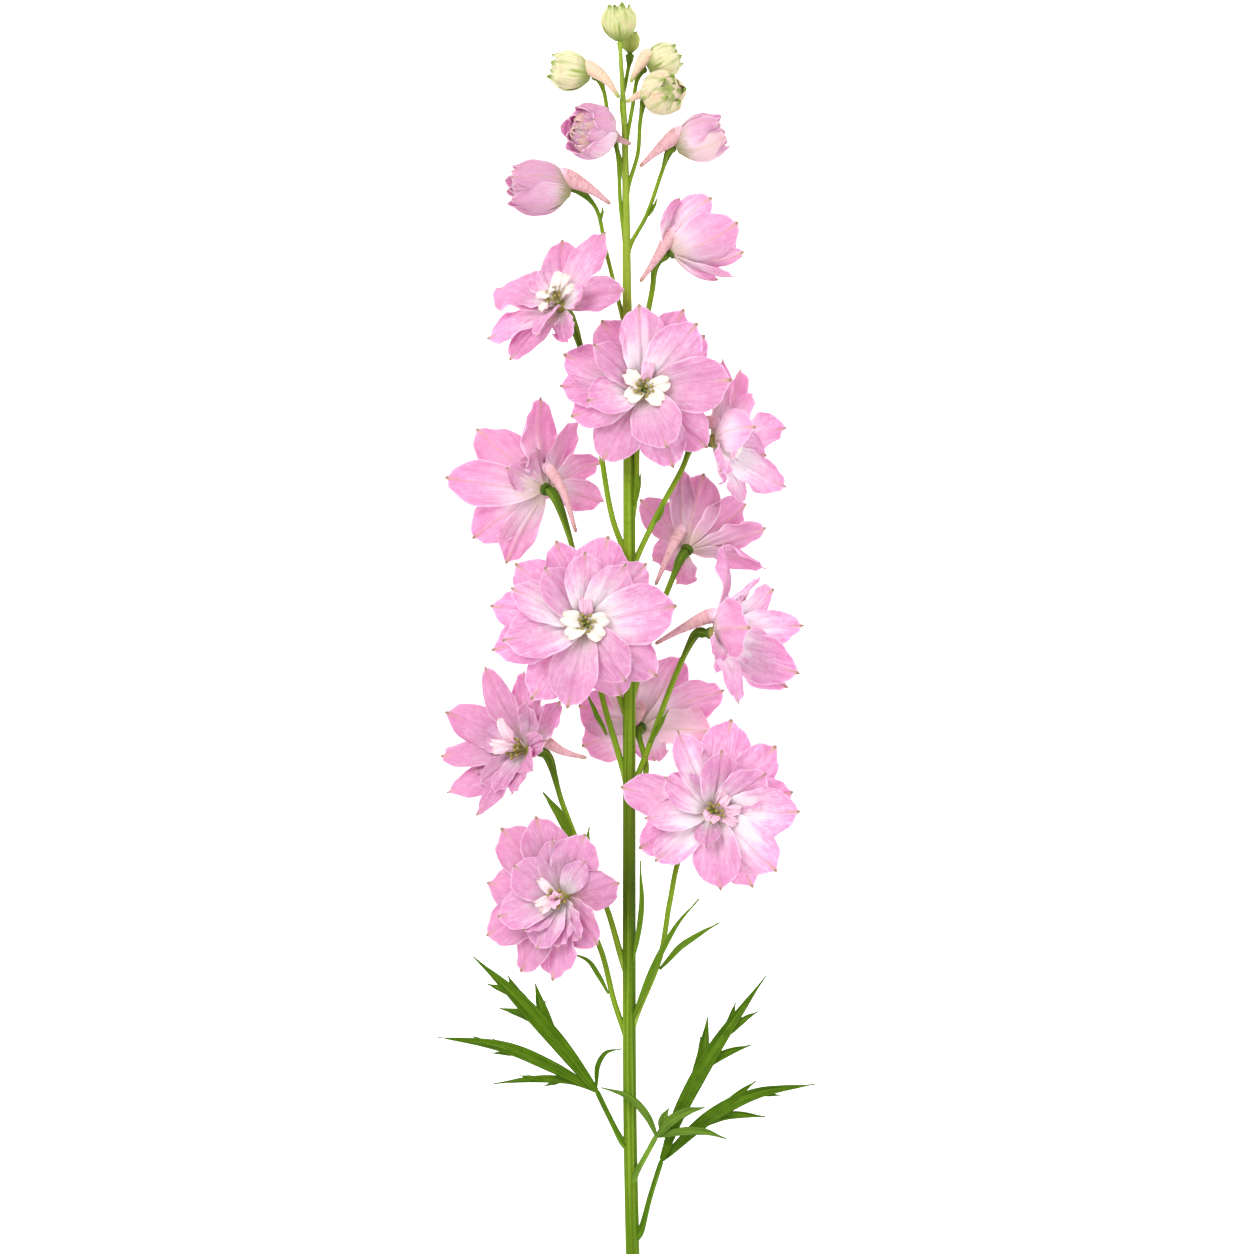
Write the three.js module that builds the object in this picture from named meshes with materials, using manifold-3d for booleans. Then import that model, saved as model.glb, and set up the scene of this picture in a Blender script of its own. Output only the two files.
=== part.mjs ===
// A larkspur: one cut flower stem with eleven open double blooms, nine buds and three leaves, lying
// on a surface. Millimetres, +Z up, +X right and +Y along the stem, from the cut end to the tip.
// The flower is laid out in the plant's own frame, where the stem passes close to x = 0, and is
// moved at the end so that the origin is the middle of the base of its box.

import * as THREE from 'three';
import { mergeVertices } from 'three/addons/utils/BufferGeometryUtils.js';
import Module from 'manifold-3d';

const wasm = await Module();
wasm.setup();

// Driving dimensions

const WELD = 1e-4; // corners nearer than this are one
const SEAT_GAP = 0.3; // between two pieces that meet
const PETAL_THICK = 0.6;
const LEAF_THICK = 0.8;
const LOBE_THICK = 0.62;

// The stem: [x, y, radius] from the cut end to the tip, and how its axis climbs from the surface
const STEM_STATIONS = [
  [1.7, -20, 1.72],
  [0.6, 37, 1.62],
  [0.5, 110, 1.52],
  [0.5, 181, 1.44],
  [0, 229, 1.08],
  [-0.6, 270, 0.72],
  [-1.7, 290, 0.5],
];
const CUT_Y = -20;
const CUT_SLANT = 0.6; // along the stem, for each mm across the cut
const CUT_AXIS_HEIGHT = 1.82;
const STEM_CLIMB = 0.1037; // mm of height for each mm along the stem
const STEM_SIDES = 10;

// Flower stalks: their radius, the radius of the green swelling under the flower, and their bends
const BLOOM_STALK = { radius: 0.68, swelling: 1.5, steps: 5 };
const BUD_STALK = { radius: 0.5, swelling: 1, steps: 3 };
const STALK_SIDES = 5;
const SWELLING_SHARE = 0.2; // of the stalk's length
const APPROACH = 4; // the stretch of a stalk that is in line with its flower
const PETIOLE_RADIUS = 0.8;

// The core of a bloom, which its petals grow from: [radius, height over the seat]
const CORE_PROFILE = [
  [0, 0],
  [1.8, 0],
  [2.4, 1.5],
  [1.5, 3.2],
  [0, 3.2],
];
const CORE_TOP = 3.2;
const CORE_SIDES = 6;
const ROOT_RADIUS = 1; // where a petal's midline leaves the core's axis
const SPUR_SIDES = 5;
const SPUR_BENDS = 3;
const SPUR_START = 2; // over the seat, inside the core
const SPUR_ROOT_RADIUS = 1.25;
const SPUR_TIP_RADIUS = 0.5;

// How the width of a petal grows and closes along it
const SWELL = 0.95;
const CLOSE = 0.45;
const SHOULDER = 0.93; // where the blunt tip begins
const OUTER_STEPS = [0.4, 0.76]; // where a petal bends, besides its root and tip
const INNER_STEPS = [0.6];
const STEEP = THREE.MathUtils.degToRad(55); // nearer the axis than this, a petal bulges outwards
const STEEP_ARCH = -0.12;
const ROLL = 0.3; // turns each petal about its midline, over one neighbour and under the next
const CUP_PLAY = 0.06; // how far petals of a whorl differ in cup, twist and bearing
const TWIST_PLAY = 0.12;
const BEARING_PLAY = 0.15;

// The two whorls of an open bloom: width where a row gives none, and where on the core they start
const OUTER_WHORL = { width: 11, arch: 0.1, cup: 0.12, start: 0.7, steps: OUTER_STEPS };
const INNER_WHORL = { width: 10, arch: 0.16, cup: 0.22, start: 1.9, steps: INNER_STEPS };

// Open blooms. seat is the top of the receptacle and facing the way the bloom looks. A petal is
// [bearing, reach, rise, width, arch]: the bearing and reach of its tip as seen from above, in
// degrees from +X and mm, and the height of the tip over the seat. spur lists points over the seat.
const BLOOMS = [
  {
    seat: [-15.1, 226.6, 30.5],
    facing: [-0.45, 0.6, 0.66],
    stalk: [[0.2, 166, 21], [-3.4, 176.2, 22], [-6, 190.6, 24], [-7.9, 205, 25.5]],
    spur: [[0, 3, -2], [4, 5, -7], [9, 4, -9]],
    outer: [
      [156, 17.5, -11], [95, 16.8, -10, 8.5], [64, 21.1, -1, 7], [20, 14.2, 9, 10],
      [-160, 19.4, -1], [-138, 17.5, 6], [-75, 9.5, 7, 8], [128, 15, -13, 9],
    ],
    inner: [[-110, 8.4, 13, 8], [15, 9.6, 12, 8], [120, 11, -4, 9], [165, 11, -2, 9]],
  },
  {
    seat: [3.8, 207.1, 30],
    facing: [0.05, 0.1, 0.99],
    stalk: [[1.2, 176.2, 22], [2.2, 184, 23.5], [2.4, 193, 25]],
    spur: [[4, 2, 0.3], [9, 4, -3], [13, 5, -4.5]],
    outer: [
      [63, 21.6, 1], [41, 19.7, 3], [-43, 20.4, 3], [-69, 19.4, 5], [-122, 19.2, 4, 12],
      [-161, 18, 3], [155, 20.6, 1.5], [174, 19.7, 3], [119, 19.4, 1.5],
    ],
    inner: [
      [91.5, 20.5, 5, 11], [51, 20.4, 7, 12], [6.5, 20.9, 6, 13], [-67, 14.6, 9, 12],
      [-170, 13.2, 9], [136, 15.8, 8, 8.5],
    ],
  },
  {
    seat: [19.7, 195.1, 22],
    facing: [0.93, 0, 0.36],
    stalk: [[1.7, 165.4, 20.9], [7.9, 178.6, 20.5], [13, 188, 20]],
    spur: [[1, 4.5, 0], [-3, 6, -3], [-9, 4, -4]],
    outer: [
      [85, 19.5, -4, 7], [79, 19.7, 3, 7], [63, 18.3, -8, 9], [44, 15.6, 5, 9],
      [7, 18.7, -11], [-29, 21.3, -6], [-59, 17.5, -7], [60, 9, -17], [-50, 10, -19],
      [-10, 7, -21.97],
    ],
    inner: [[25, 8.5, 14, 8, -0.25], [-66, 7.7, 13, 6], [-20, 15, -8, 9], [40, 13, -6, 9]],
  },
  {
    seat: [-19.2, 183.4, 12.5],
    facing: [-0.45, 0.3, -0.84],
    stalk: [[-0.2, 113.3, 15.6], [-5.8, 133, 16.2], [-10, 152, 16.2], [-13.4, 170.6, 16]],
    spur: [[0.8, 4.6, 0.8], [4.4, 2.6, 5], [7, -10.3, 6.5]],
    outer: [
      [98, 22.1, -4, 9], [141, 21.1, -11.82], [172.5, 23.5, -1, 9], [-147.5, 20.9, -6, 9],
      [-120, 19.8, -7, 7.5], [70, 18, -8, 7], [32, 14.2, -9.4, 8.5], [-9, 13.2, -9.4, 7.5],
    ],
    inner: [],
    ring: { petals: 4, length: 12, open: 66 },
  },
  {
    seat: [14.2, 168.7, 13],
    facing: [0.35, 0.5, -0.79],
    stalk: [[1.2, 133, 17.6], [5.5, 147.4, 17], [9.4, 158.4, 16.7]],
    spur: [[-1.7, 4.3, 1], [-4.5, -1, 4.5], [-7.4, -8.2, 5.5]],
    outer: [
      [131, 16.3, -4, 8.5], [-163, 7.4, -10, 8], [-90, 7.2, -11, 8], [92, 19.2, -3, 6],
      [75, 18.5, -6, 9], [39, 17.5, -10], [18, 19.2, -5, 9], [-7, 19.2, -9, 5.5],
    ],
    inner: [],
    ring: { petals: 4, length: 12, open: 66 },
  },
  {
    seat: [-9.6, 151.2, 25],
    facing: [-0.02, 0.02, 1],
    stalk: [[0.2, 127, 16.9], [-1.7, 133.4, 17.5], [-5, 141, 19]],
    spur: [[-4, 3, 0.3], [-8, 6, -2.5], [-12, 8, -3.5]],
    outer: [
      [110, 21.1, 2], [75, 21.5, 3, 13], [44, 20.2, 2], [-37, 20.6, 3], [-66, 19.2, 1.5, 12],
      [-127, 22.1, 2], [-165, 23.3, 3], [167, 23.5, 1.5], [139, 22.2, 3],
    ],
    inner: [
      [127, 16.6, 7], [91, 16.8, 8], [57, 16.8, 7], [11, 21.6, 6, 14], [-57, 16.3, 8, 11],
      [-104, 20.4, 6, 11.5], [-169, 20.2, 7, 12], [154, 19.9, 5.5],
    ],
  },
  {
    seat: [19.7, 149, 19.5],
    facing: [0.85, 0, 0.52],
    stalk: [[1.4, 111.4, 15.3], [5, 121, 16], [10.5, 136, 16.8], [14.4, 145, 17]],
    spur: [[0.2, 4.1, 1], [-6, 2, 3], [-13, -2.6, 4]],
    outer: [
      [76, 22.3, -3, 6], [46, 18, 2, 7.5], [32, 19, -9, 9], [4, 22.4, -7, 9.5], [-24, 23.3, -3],
      [-34, 22.6, -5, 7.5], [-64, 17.8, 8, 6], [60, 9, -16], [-55, 9, -17], [10, 9, -17.5],
    ],
    inner: [[20, 7, 16, 9, -0.2], [-75, 6, 13, 6], [-20, 15, -6, 9], [40, 12, -4, 9]],
  },
  {
    seat: [3.1, 126, 11.5],
    facing: [0.1, 0.35, -0.93],
    stalk: [[1.7, 109, 15.1], [4.6, 116, 14.6]],
    spur: [[1.6, 4.5, 0.5], [3, 0.5, 3], [2.2, -5, 3.4]],
    outer: [
      [-163, 14, -7], [159, 15.4, -5], [60, 19.6, -5], [28, 22, -4], [-1, 16.8, -8],
      [-65, 8.4, -9, 9], [102, 18, -5, 12],
    ],
    inner: [],
    ring: { petals: 4, length: 11, open: 66 },
  },
  {
    seat: [-22.3, 120.5, 17],
    facing: [-0.8, 0.15, 0.58],
    stalk: [[-1.2, 70.6, 11.1], [-5, 83.3, 12], [-9.5, 93, 12.5], [-15.5, 108, 13.5]],
    spur: [[1, 3.6, 1], [6.7, -1.5, 3], [12.7, -1.5, 3.5]],
    outer: [
      [121, 23.5, -2, 10], [156, 22.9, -5, 8.5], [180, 23, -9, 9], [-157, 22.9, -3, 10],
      [-134, 20.2, 5, 10], [-119, 11.2, 13, 9], [63, 13.4, 4, 7.5], [100, 20, -4, 6],
      [-120, 9, -14, 10], [90, 9, -13.5, 10],
    ],
    inner: [[90, 13, 9, 9], [-95, 12, 8, 9], [140, 10, -10, 9], [20, 5, 14, 9]],
  },
  {
    seat: [20.4, 106.3, 19],
    facing: [0.1, -0.05, 0.99],
    stalk: [[1.9, 56.2, 9.6], [7.9, 71, 11], [10.3, 84.5, 12], [13, 96, 13]],
    spur: [[3, 4, 0.3], [6, 9, -2.5], [7, 13, -3.5]],
    outer: [
      [77, 22.3, 2, 12], [44, 21.6, 3], [12, 19.7, 2], [-62, 20.4, 2], [-154, 19.4, 3],
      [165, 22.3, 2, 9.5],
    ],
    inner: [
      [-1, 20.9, 5, 12], [-44, 21, 4, 12], [-84, 18.7, 5, 11], [-139, 18, 5, 8.5],
      [-175, 16, 7, 8], [113, 20.6, 5, 8.5], [143, 13.7, 8, 9], [80, 14.4, 8], [35, 15.6, 8],
      [-100, 8, 9, 6],
    ],
  },
  {
    seat: [-14.6, 85.9, 17],
    facing: [-0.4, -0.1, 0.91],
    stalk: [[0.5, 49, 8.8], [-3.1, 60.5, 10], [-6.5, 73.4, 11.5]],
    spur: [[-3.5, 3, -0.8], [-7, 6, -5], [-9, 9, -7]],
    outer: [
      [134, 22.3, -2], [111, 20.2, 2], [74, 14.9, 9], [12, 12.5, 9, 10], [-58, 13.7, 8],
      [-100, 20.4, -0.5], [-124, 21.6, -4], [-155, 22.1, -6.5], [170, 19.7, -5],
    ],
    inner: [[150, 14.4, 4], [-163, 16.8, 1], [-120, 14.4, 4], [-80, 10.8, 8, 8]],
  },
];

// Closed buds: a ribbed egg on its base, and a spur that runs back to the point given over the base
const CLOSED_BUDS = [
  { base: [-1.7, 291, 33.6], facing: [-0.1, 1, 0.1], length: 9, width: 7.7, spur: null },
  {
    base: [0.9, 288.4, 29.6],
    facing: [0.1, 1, -0.2],
    length: 5,
    width: 3.1,
    spur: null,
    stalk: [[-1.3, 276, 32.5], [-0.5, 280, 31.4]],
  },
  {
    base: [-9.4, 283, 33.5],
    facing: [-1, 0.25, 0],
    length: 9.5,
    width: 7.8,
    spur: [7, -6, 1.5],
    stalk: [[-1.7, 262.6, 31], [-4.6, 272.5, 32.3], [-6, 280, 33.2]],
  },
  {
    base: [5.5, 284.6, 33.5],
    facing: [0.8, 0.6, 0],
    length: 8,
    width: 7,
    spur: [-4, -4, 3],
    stalk: [[-0.2, 266, 31.4], [1.3, 275, 32.3]],
  },
  {
    base: [5.3, 277.2, 35],
    facing: [0.6, 0.1, 0.8],
    length: 10.5,
    width: 9.5,
    spur: [-6, -1.5, 0.5],
    stalk: [[0.3, 256, 30.3], [2.6, 264, 31.5], [3.2, 272, 32.5]],
  },
];

// Buds that are opening: cupped petals round a core, their tips still drawn in to the mouth
const OPENING_BUDS = [
  {
    base: [-5.5, 270.2, 34],
    facing: [-0.5, -0.3, 0.8],
    length: 12,
    belly: 5.6,
    mouth: 3,
    petals: 4,
    spur: [6.5, -4, 0.5],
    stalk: [[-0.5, 242.2, 28.9], [-1.6, 252, 30], [-2.2, 263, 31.5]],
  },
  {
    base: [12.5, 265.7, 33],
    facing: [0.9, 0.4, 0.1],
    length: 12,
    belly: 4.6,
    mouth: 2.2,
    petals: 4,
    spur: [-9.5, -5, 2.5],
    stalk: [[0.7, 241.7, 28.8], [4.6, 249, 30], [8.5, 260, 32]],
  },
  {
    base: [-13.7, 255.4, 31.5],
    facing: [-1, 0.12, 0.15],
    length: 15,
    belly: 5.8,
    mouth: 2.6,
    petals: 4,
    spur: [9.5, -3.6, 2],
    stalk: [[-1.2, 225.4, 27.1], [-5, 240.5, 26.5], [-7.5, 251, 29]],
  },
  {
    base: [10.3, 240, 30.5],
    facing: [0.9, 0.3, 0.3],
    length: 15.5,
    belly: 8.2,
    mouth: 7.5,
    petals: 6,
    spur: [-6.5, -6.5, 3],
    stalk: [[0.5, 207, 25], [3.5, 219, 26.5], [6, 231, 28.5]],
  },
];

// Leaves: blades as [points of the midline, greatest width]. A lobe is a blade of its own.
const LEAVES = {
  leaf_left: {
    stalk: [[-1.2, 26.9, 7], [-4.4, 33, 7.8], [-7.4, 39.4, 8.6]],
    blades: [
      [[-6.6, 37.6, 8.4], [-16, 55, 10], [-26, 64.5, 9], [-37.2, 71.3, 6], 5],
      [[-21.5, 60.5, 9.6], [-28, 62.5, 8.6], [-33.6, 64.6, 6.6], 2.6],
      [[-21.5, 60.5, 9.6], [-24.5, 64.5, 9], [-28.6, 69.5, 7.4], 2.6],
      [[-15.5, 54.5, 10], [-23, 57, 9], [-31.2, 59, 7], 3],
      [[-13, 50, 9.8], [-17, 58, 9.4], [-22.1, 65.8, 8], 3.6],
      [[-6.6, 38.2, 8.4], [-20, 45.5, 8.4], [-33, 49.5, 6.4], [-45.8, 51.8, 3.6], 4.4],
      [[-24, 46.6, 8], [-28, 49.5, 7.4], [-32.4, 53.4, 6], 2.4],
      [[-6.4, 38.2, 8.4], [-19, 40, 7.6], [-32.2, 40.8, 5], 3.2],
      [[-15, 39.8, 8], [-20, 42, 7.4], [-26.2, 43.5, 6.4], 2],
      [[-7, 38.4, 8.5], [-7.4, 44, 10.4], [-5.6, 47.6, 12.2], [-1.4, 49.4, 13], 1.6],
    ],
  },
  leaf_right: {
    stalk: [[3.1, 4.8, 4.6], [5.6, 13.6, 5.2], [8.4, 23, 6]],
    blades: [
      [[8, 21.6, 5.9], [14.5, 40, 8], [22.5, 54, 8], [33.4, 66.5, 5], 5],
      [[19.5, 49.5, 8], [22, 55, 7.6], [26.2, 61.5, 6.4], 2.6],
      [[21, 51.5, 8], [26, 54.5, 7], [32, 57.8, 5.6], 2.8],
      [[16.5, 44.5, 8.2], [23, 47.5, 7.2], [30.2, 49.9, 5.6], 3],
      [[14.8, 41, 8.1], [15.8, 48.5, 8], [19.3, 57.5, 6.6], 3.6],
      [[8, 21.8, 5.9], [21, 33, 6.6], [33, 38.5, 5], [45.4, 40.6, 2.6], 4.6],
      [[19, 31.6, 6.6], [25, 36.5, 6.2], [31, 42, 5], 2.8],
      [[21, 32.8, 6.6], [27, 33.5, 5.4], [33.6, 32, 3.8], 3.4],
    ],
  },
  leaf_front: {
    stalk: [[1.9, 18.7, 6.8], [4.6, 23.6, 8.4], [7.2, 28.4, 9.8]],
    blades: [
      [[7.2, 28, 9.8], [4.4, 33.6, 11.6], [0, 37.8, 12.8], [-6.2, 39.8, 12.6], 2.2],
      [[7.2, 28, 9.8], [10.5, 31.6, 11], [14.4, 33.8, 11], [18.7, 35, 9.6], 2.8],
      [[8.2, 29.4, 10], [8.8, 32, 10.6], [10, 35.2, 10.8], 2],
      [[7.2, 28, 9.8], [13, 28.6, 10.4], [18.4, 28.4, 9.8], [24, 27.4, 8], 2.2],
    ],
  },
};

// Bracts, part of the green stem: blades as above
const BRACTS = [
  [[1.6, 57, 11], [5.6, 67, 13], [11.5, 78.2, 14.6], [17.3, 85.2, 14], 1.9],
  [[7.9, 68.2, 11], [13.2, 73.9, 12.4], [22.1, 79.4, 11.6], 1.7],
  [[-12.8, 98.6, 12.9], [-16.4, 105.6, 14.6], [-20.2, 110.8, 15.2], 2.2],
  [[-9.6, 93, 12.6], [-9.6, 97.5, 14.2], [-9.1, 102.4, 15], 1.8],
  [[-4.4, 62.4, 10.2], [-9.4, 70.3, 12.2], [-13.6, 72.2, 12.4], 2],
  [[1.4, 70, 12.4], [3.4, 82, 14.4], [3.2, 94.4, 16.6], 1.9],
];

const GREEN = new THREE.MeshStandardMaterial({ color: 0x6f8f3e, roughness: 0.6, metalness: 0 });
const LEAF_GREEN = new THREE.MeshStandardMaterial({ color: 0x5f8438, roughness: 0.6, metalness: 0 });
const PINK = new THREE.MeshStandardMaterial({ color: 0xe9a9c0, roughness: 0.6, metalness: 0 });
const CREAM = new THREE.MeshStandardMaterial({ color: 0xf1e6cf, roughness: 0.6, metalness: 0 });
const BUD_PALE = new THREE.MeshStandardMaterial({ color: 0xd9dfc0, roughness: 0.6, metalness: 0 });

/** A point or direction from its list. */
const vector = (point) => new THREE.Vector3(...point);

/** A point moved along directions, each by its amount. */
const alongSide = (base, ...terms) => {
  const sum = base.clone();
  terms.forEach(([direction, amount]) => sum.addScaledVector(direction, amount));
  return sum;
};

/** A closed mesh as a solid that can be joined. */
function solidOf(geometry) {
  geometry.deleteAttribute('normal');
  geometry.deleteAttribute('uv');
  const merged = mergeVertices(geometry, WELD);
  const mesh = new wasm.Mesh({
    numProp: 3,
    vertProperties: new Float32Array(merged.attributes.position.array),
    triVerts: new Uint32Array(merged.index.array),
  });
  return new wasm.Manifold(mesh);
}

/** The largest body of a solid: loose scraps and sealed hollows are left out. */
function mainBody(solid) {
  const bodies = solid.decompose();
  return bodies.reduce((best, body) => (body.volume() > best.volume() ? body : best));
}

/** Joins solids into one body. */
function joined(solids) {
  return mainBody(wasm.Manifold.union(solids));
}

/** A solid as a named mesh. */
function meshOf(name, solid, material) {
  const { vertProperties, triVerts } = solid.getMesh();
  const geometry = new THREE.BufferGeometry();
  geometry.setAttribute('position', new THREE.BufferAttribute(new Float32Array(vertProperties), 3));
  geometry.setIndex(new THREE.BufferAttribute(new Uint32Array(triVerts), 1));
  geometry.computeVertexNormals();
  const mesh = new THREE.Mesh(geometry, material);
  mesh.name = name;
  return mesh;
}

/** A mesh from its corners and its triangles. */
function geometryOf(points, faces) {
  const geometry = new THREE.BufferGeometry();
  const positions = points.flatMap((point) => point.toArray());
  geometry.setAttribute('position', new THREE.Float32BufferAttribute(positions, 3));
  geometry.setIndex(faces.flat());
  return geometry;
}

/** Skins rings of points, each turning the same way round its direction, and closes both ends. */
function skin(rings) {
  const sides = rings[0].length;
  const faces = [];
  const last = (rings.length - 1) * sides;
  for (let ring = 0; ring < rings.length - 1; ring += 1) {
    for (let side = 0; side < sides; side += 1) {
      const here = ring * sides + side;
      const next = ring * sides + ((side + 1) % sides);
      faces.push([here, next, next + sides], [here, next + sides, here + sides]);
    }
  }
  for (let side = 1; side < sides - 1; side += 1) {
    faces.push([0, side + 1, side], [last, last + side, last + side + 1]);
  }
  return solidOf(geometryOf(rings.flat(), faces));
}

/** A round ring of points about a centre, with axes `across` and `up`. */
function ringOf(centre, across, up, radius, sides, lobe = () => 1) {
  return Array.from({ length: sides }, (_, side) => {
    const angle = (2 * Math.PI * side) / sides;
    const reach = radius * lobe(side);
    return alongSide(centre, [across, reach * Math.cos(angle)], [up, reach * Math.sin(angle)]);
  });
}

/** A tapering tube through points; radiusAt gives its radius from 0 at the start to 1 at the end. */
function tube(points, radiusAt, sides, steps) {
  const curve = new THREE.CatmullRomCurve3(points, false, 'centripetal');
  const frames = curve.computeFrenetFrames(steps, false);
  const rings = frames.tangents.map((_, step) => {
    const share = step / steps;
    const centre = curve.getPointAt(share);
    return ringOf(centre, frames.normals[step], frames.binormals[step], radiusAt(share), sides);
  });
  return skin(rings);
}

/**
 * A thin blade from rows of points, each with the blade's normal there. A first or last row may
 * have one point. Both faces are split into the same triangles.
 */
function blade(rows, thickness) {
  const points = [];
  const index = rows.map((row) => row.map(({ point, normal }) => {
    points.push(alongSide(point, [normal, thickness / 2]));
    points.push(alongSide(point, [normal, -thickness / 2]));
    return points.length - 2;
  }));
  const face = [];
  for (let row = 0; row < index.length - 1; row += 1) {
    const near = index[row];
    const far = index[row + 1];
    for (let column = 0; column < Math.max(near.length, far.length) - 1; column += 1) {
      if (near.length > 1) {
        face.push([near[column], far[Math.min(column, far.length - 1)], near[column + 1]]);
      }
      if (far.length > 1) {
        face.push([near[Math.min(column + 1, near.length - 1)], far[column], far[column + 1]]);
      }
    }
  }
  const left = index.map((row) => row[0]);
  const right = index.map((row) => row.at(-1)).reverse();
  const rim = [...left, ...index.at(-1).slice(1, -1), ...right, ...index[0].slice(1, -1).reverse()]
    .filter((vertex, place, all) => vertex !== all[(place + 1) % all.length]);
  const faces = face.flatMap(([a, b, c]) => [[a, b, c], [a + 1, c + 1, b + 1]]);
  rim.forEach((here, place) => {
    const next = rim[(place + 1) % rim.length];
    faces.push([next, here, here + 1], [next, here + 1, next + 1]);
  });
  return solidOf(geometryOf(points, faces));
}

/** The height of the stem's axis over the surface. */
const stemHeight = (y) => CUT_AXIS_HEIGHT + STEM_CLIMB * (y - CUT_Y);

/** How wide a petal is at a share of its length, from 0 to 1. */
function petalSpread(share) {
  const swell = (at) => at ** SWELL * (1 - at) ** CLOSE;
  return swell(share) / swell(SWELL / (SWELL + CLOSE));
}

/**
 * A petal from root to tip. Its midline is a bend of second order that leaves the chord by arch
 * times the chord's length, its edges lift by cup, and taper narrows it towards its blunt tip.
 */
function petal({ root, tip, side, width, arch, cup, twist, steps = OUTER_STEPS, taper = 0 }) {
  const chord = tip.clone().sub(root);
  const bulge = chord.clone().cross(side).normalize().multiplyScalar(arch * chord.length());
  const middle = alongSide(root, [chord, 0.5]).add(bulge);
  const midline = new THREE.QuadraticBezierCurve3(root, middle, tip);
  const at = (share, across) => {
    const spread = petalSpread(share) * (1 - taper * share * share);
    const tangent = midline.getTangent(share);
    const plain = tangent.clone().cross(side).normalize();
    const turn = ROLL + twist * share;
    const sideways = side.clone().applyAxisAngle(tangent, turn);
    const normal = plain.applyAxisAngle(tangent, turn);
    const reach = (width / 2) * spread * across;
    const lift = cup * (width / 2) * spread * across * across;
    return { point: alongSide(midline.getPoint(share), [sideways, reach], [normal, lift]), normal };
  };
  const rows = steps.map((share) => [-1, 0, 1].map((across) => at(share, across)));
  const end = [at(SHOULDER, -1), at(1, 0), at(SHOULDER, 1)];
  return blade([[at(0, 0)], ...rows, end], PETAL_THICK);
}

/** A small steady difference between neighbours, from -1 to 1. */
const vary = (place, start) => Math.sin(2.4 * place + 1.7 * start);

/** Tips spaced evenly round an axis, each open by the same angle from it, in degrees. */
function ringTips({ petals, length, open }, axis, number) {
  const across = new THREE.Vector3(0, 1, 0).projectOnPlane(axis).normalize();
  const up = axis.clone().cross(across);
  return Array.from({ length: petals }, (_, place) => {
    const round = (2 * Math.PI * place) / petals + BEARING_PLAY * vary(place, number);
    const lean = THREE.MathUtils.degToRad(open);
    return alongSide(
      new THREE.Vector3(),
      [axis, length * Math.cos(lean)],
      [across, length * Math.sin(lean) * Math.cos(round)],
      [up, length * Math.sin(lean) * Math.sin(round)],
    );
  });
}

/** A petal's row as the place of its tip over the seat, its width and its arch. */
function readRow([bearing, reach, rise, width, arch]) {
  const angle = THREE.MathUtils.degToRad(bearing);
  return {
    tip: new THREE.Vector3(reach * Math.cos(angle), reach * Math.sin(angle), rise),
    width,
    arch,
  };
}

/** The petals of an open bloom, its core and its spur, as one body. */
function bloomPetals({ seat, facing, outer, inner, ring, spur }, number) {
  const origin = vector(seat);
  const axis = vector(facing).normalize();
  const hidden = ring ? ringTips(ring, axis, number).map((tip) => ({ tip })) : [];
  const whorls = [
    { ...OUTER_WHORL, rows: outer.map(readRow) },
    { ...INNER_WHORL, rows: [...inner.map(readRow), ...hidden] },
  ];
  const petals = whorls.flatMap(({ rows, width, arch, cup, start, steps }) => rows.map((row, place) => {
    const outward = row.tip.clone().projectOnPlane(axis).normalize();
    const ownArch = row.tip.angleTo(axis) < STEEP ? STEEP_ARCH : arch;
    return petal({
      root: alongSide(origin, [axis, start], [outward, ROOT_RADIUS]),
      tip: origin.clone().add(row.tip),
      side: axis.clone().cross(outward),
      width: row.width ?? width,
      arch: row.arch ?? ownArch,
      cup: cup + CUP_PLAY * vary(place, number),
      twist: TWIST_PLAY * vary(place, number + 1),
      steps,
    });
  }));
  return joined([bloomCore(origin, axis), spurOf(origin, axis, spur), ...petals]);
}

/** Turns a solid's own +Z to an axis and moves it to a place. */
function placed(geometry, origin, axis) {
  const turn = new THREE.Quaternion().setFromUnitVectors(new THREE.Vector3(0, 0, 1), axis);
  geometry.applyQuaternion(turn);
  geometry.translate(origin.x, origin.y, origin.z);
  return geometry;
}

/** The body of revolution of a profile of [radius, height], standing on +Z. */
function turned(profile, sides) {
  const geometry = new THREE.LatheGeometry(profile.map((point) => new THREE.Vector2(...point)), sides);
  geometry.rotateX(Math.PI / 2);
  return geometry;
}

/** The core of a bloom on its seat. */
function bloomCore(origin, axis) {
  return solidOf(placed(turned(CORE_PROFILE, CORE_SIDES), origin, axis));
}

/** The spur of a bloom, which tapers from inside the core through its points. */
function spurOf(origin, axis, points) {
  const inside = alongSide(origin, [axis, SPUR_START]);
  const route = [inside, ...points.map((point) => origin.clone().add(vector(point)))];
  const radiusAt = (share) => THREE.MathUtils.lerp(SPUR_ROOT_RADIUS, SPUR_TIP_RADIUS, share);
  return tube(route, radiusAt, SPUR_SIDES, SPUR_BENDS);
}

// The heart of a bloom: small lobes that flare from a stub and stand round a shallow dip.
// [height, radius at a lobe, radius between lobes]
const HEART_RINGS = [
  [0, 1.1, 1.1],
  [1.2, 1.8, 1.4],
  [2.4, 3.2, 1.7],
  [3.2, 3.7, 1.5],
  [2.2, 0.9, 0.9],
];
const HEART_LOBES = 4;

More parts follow.
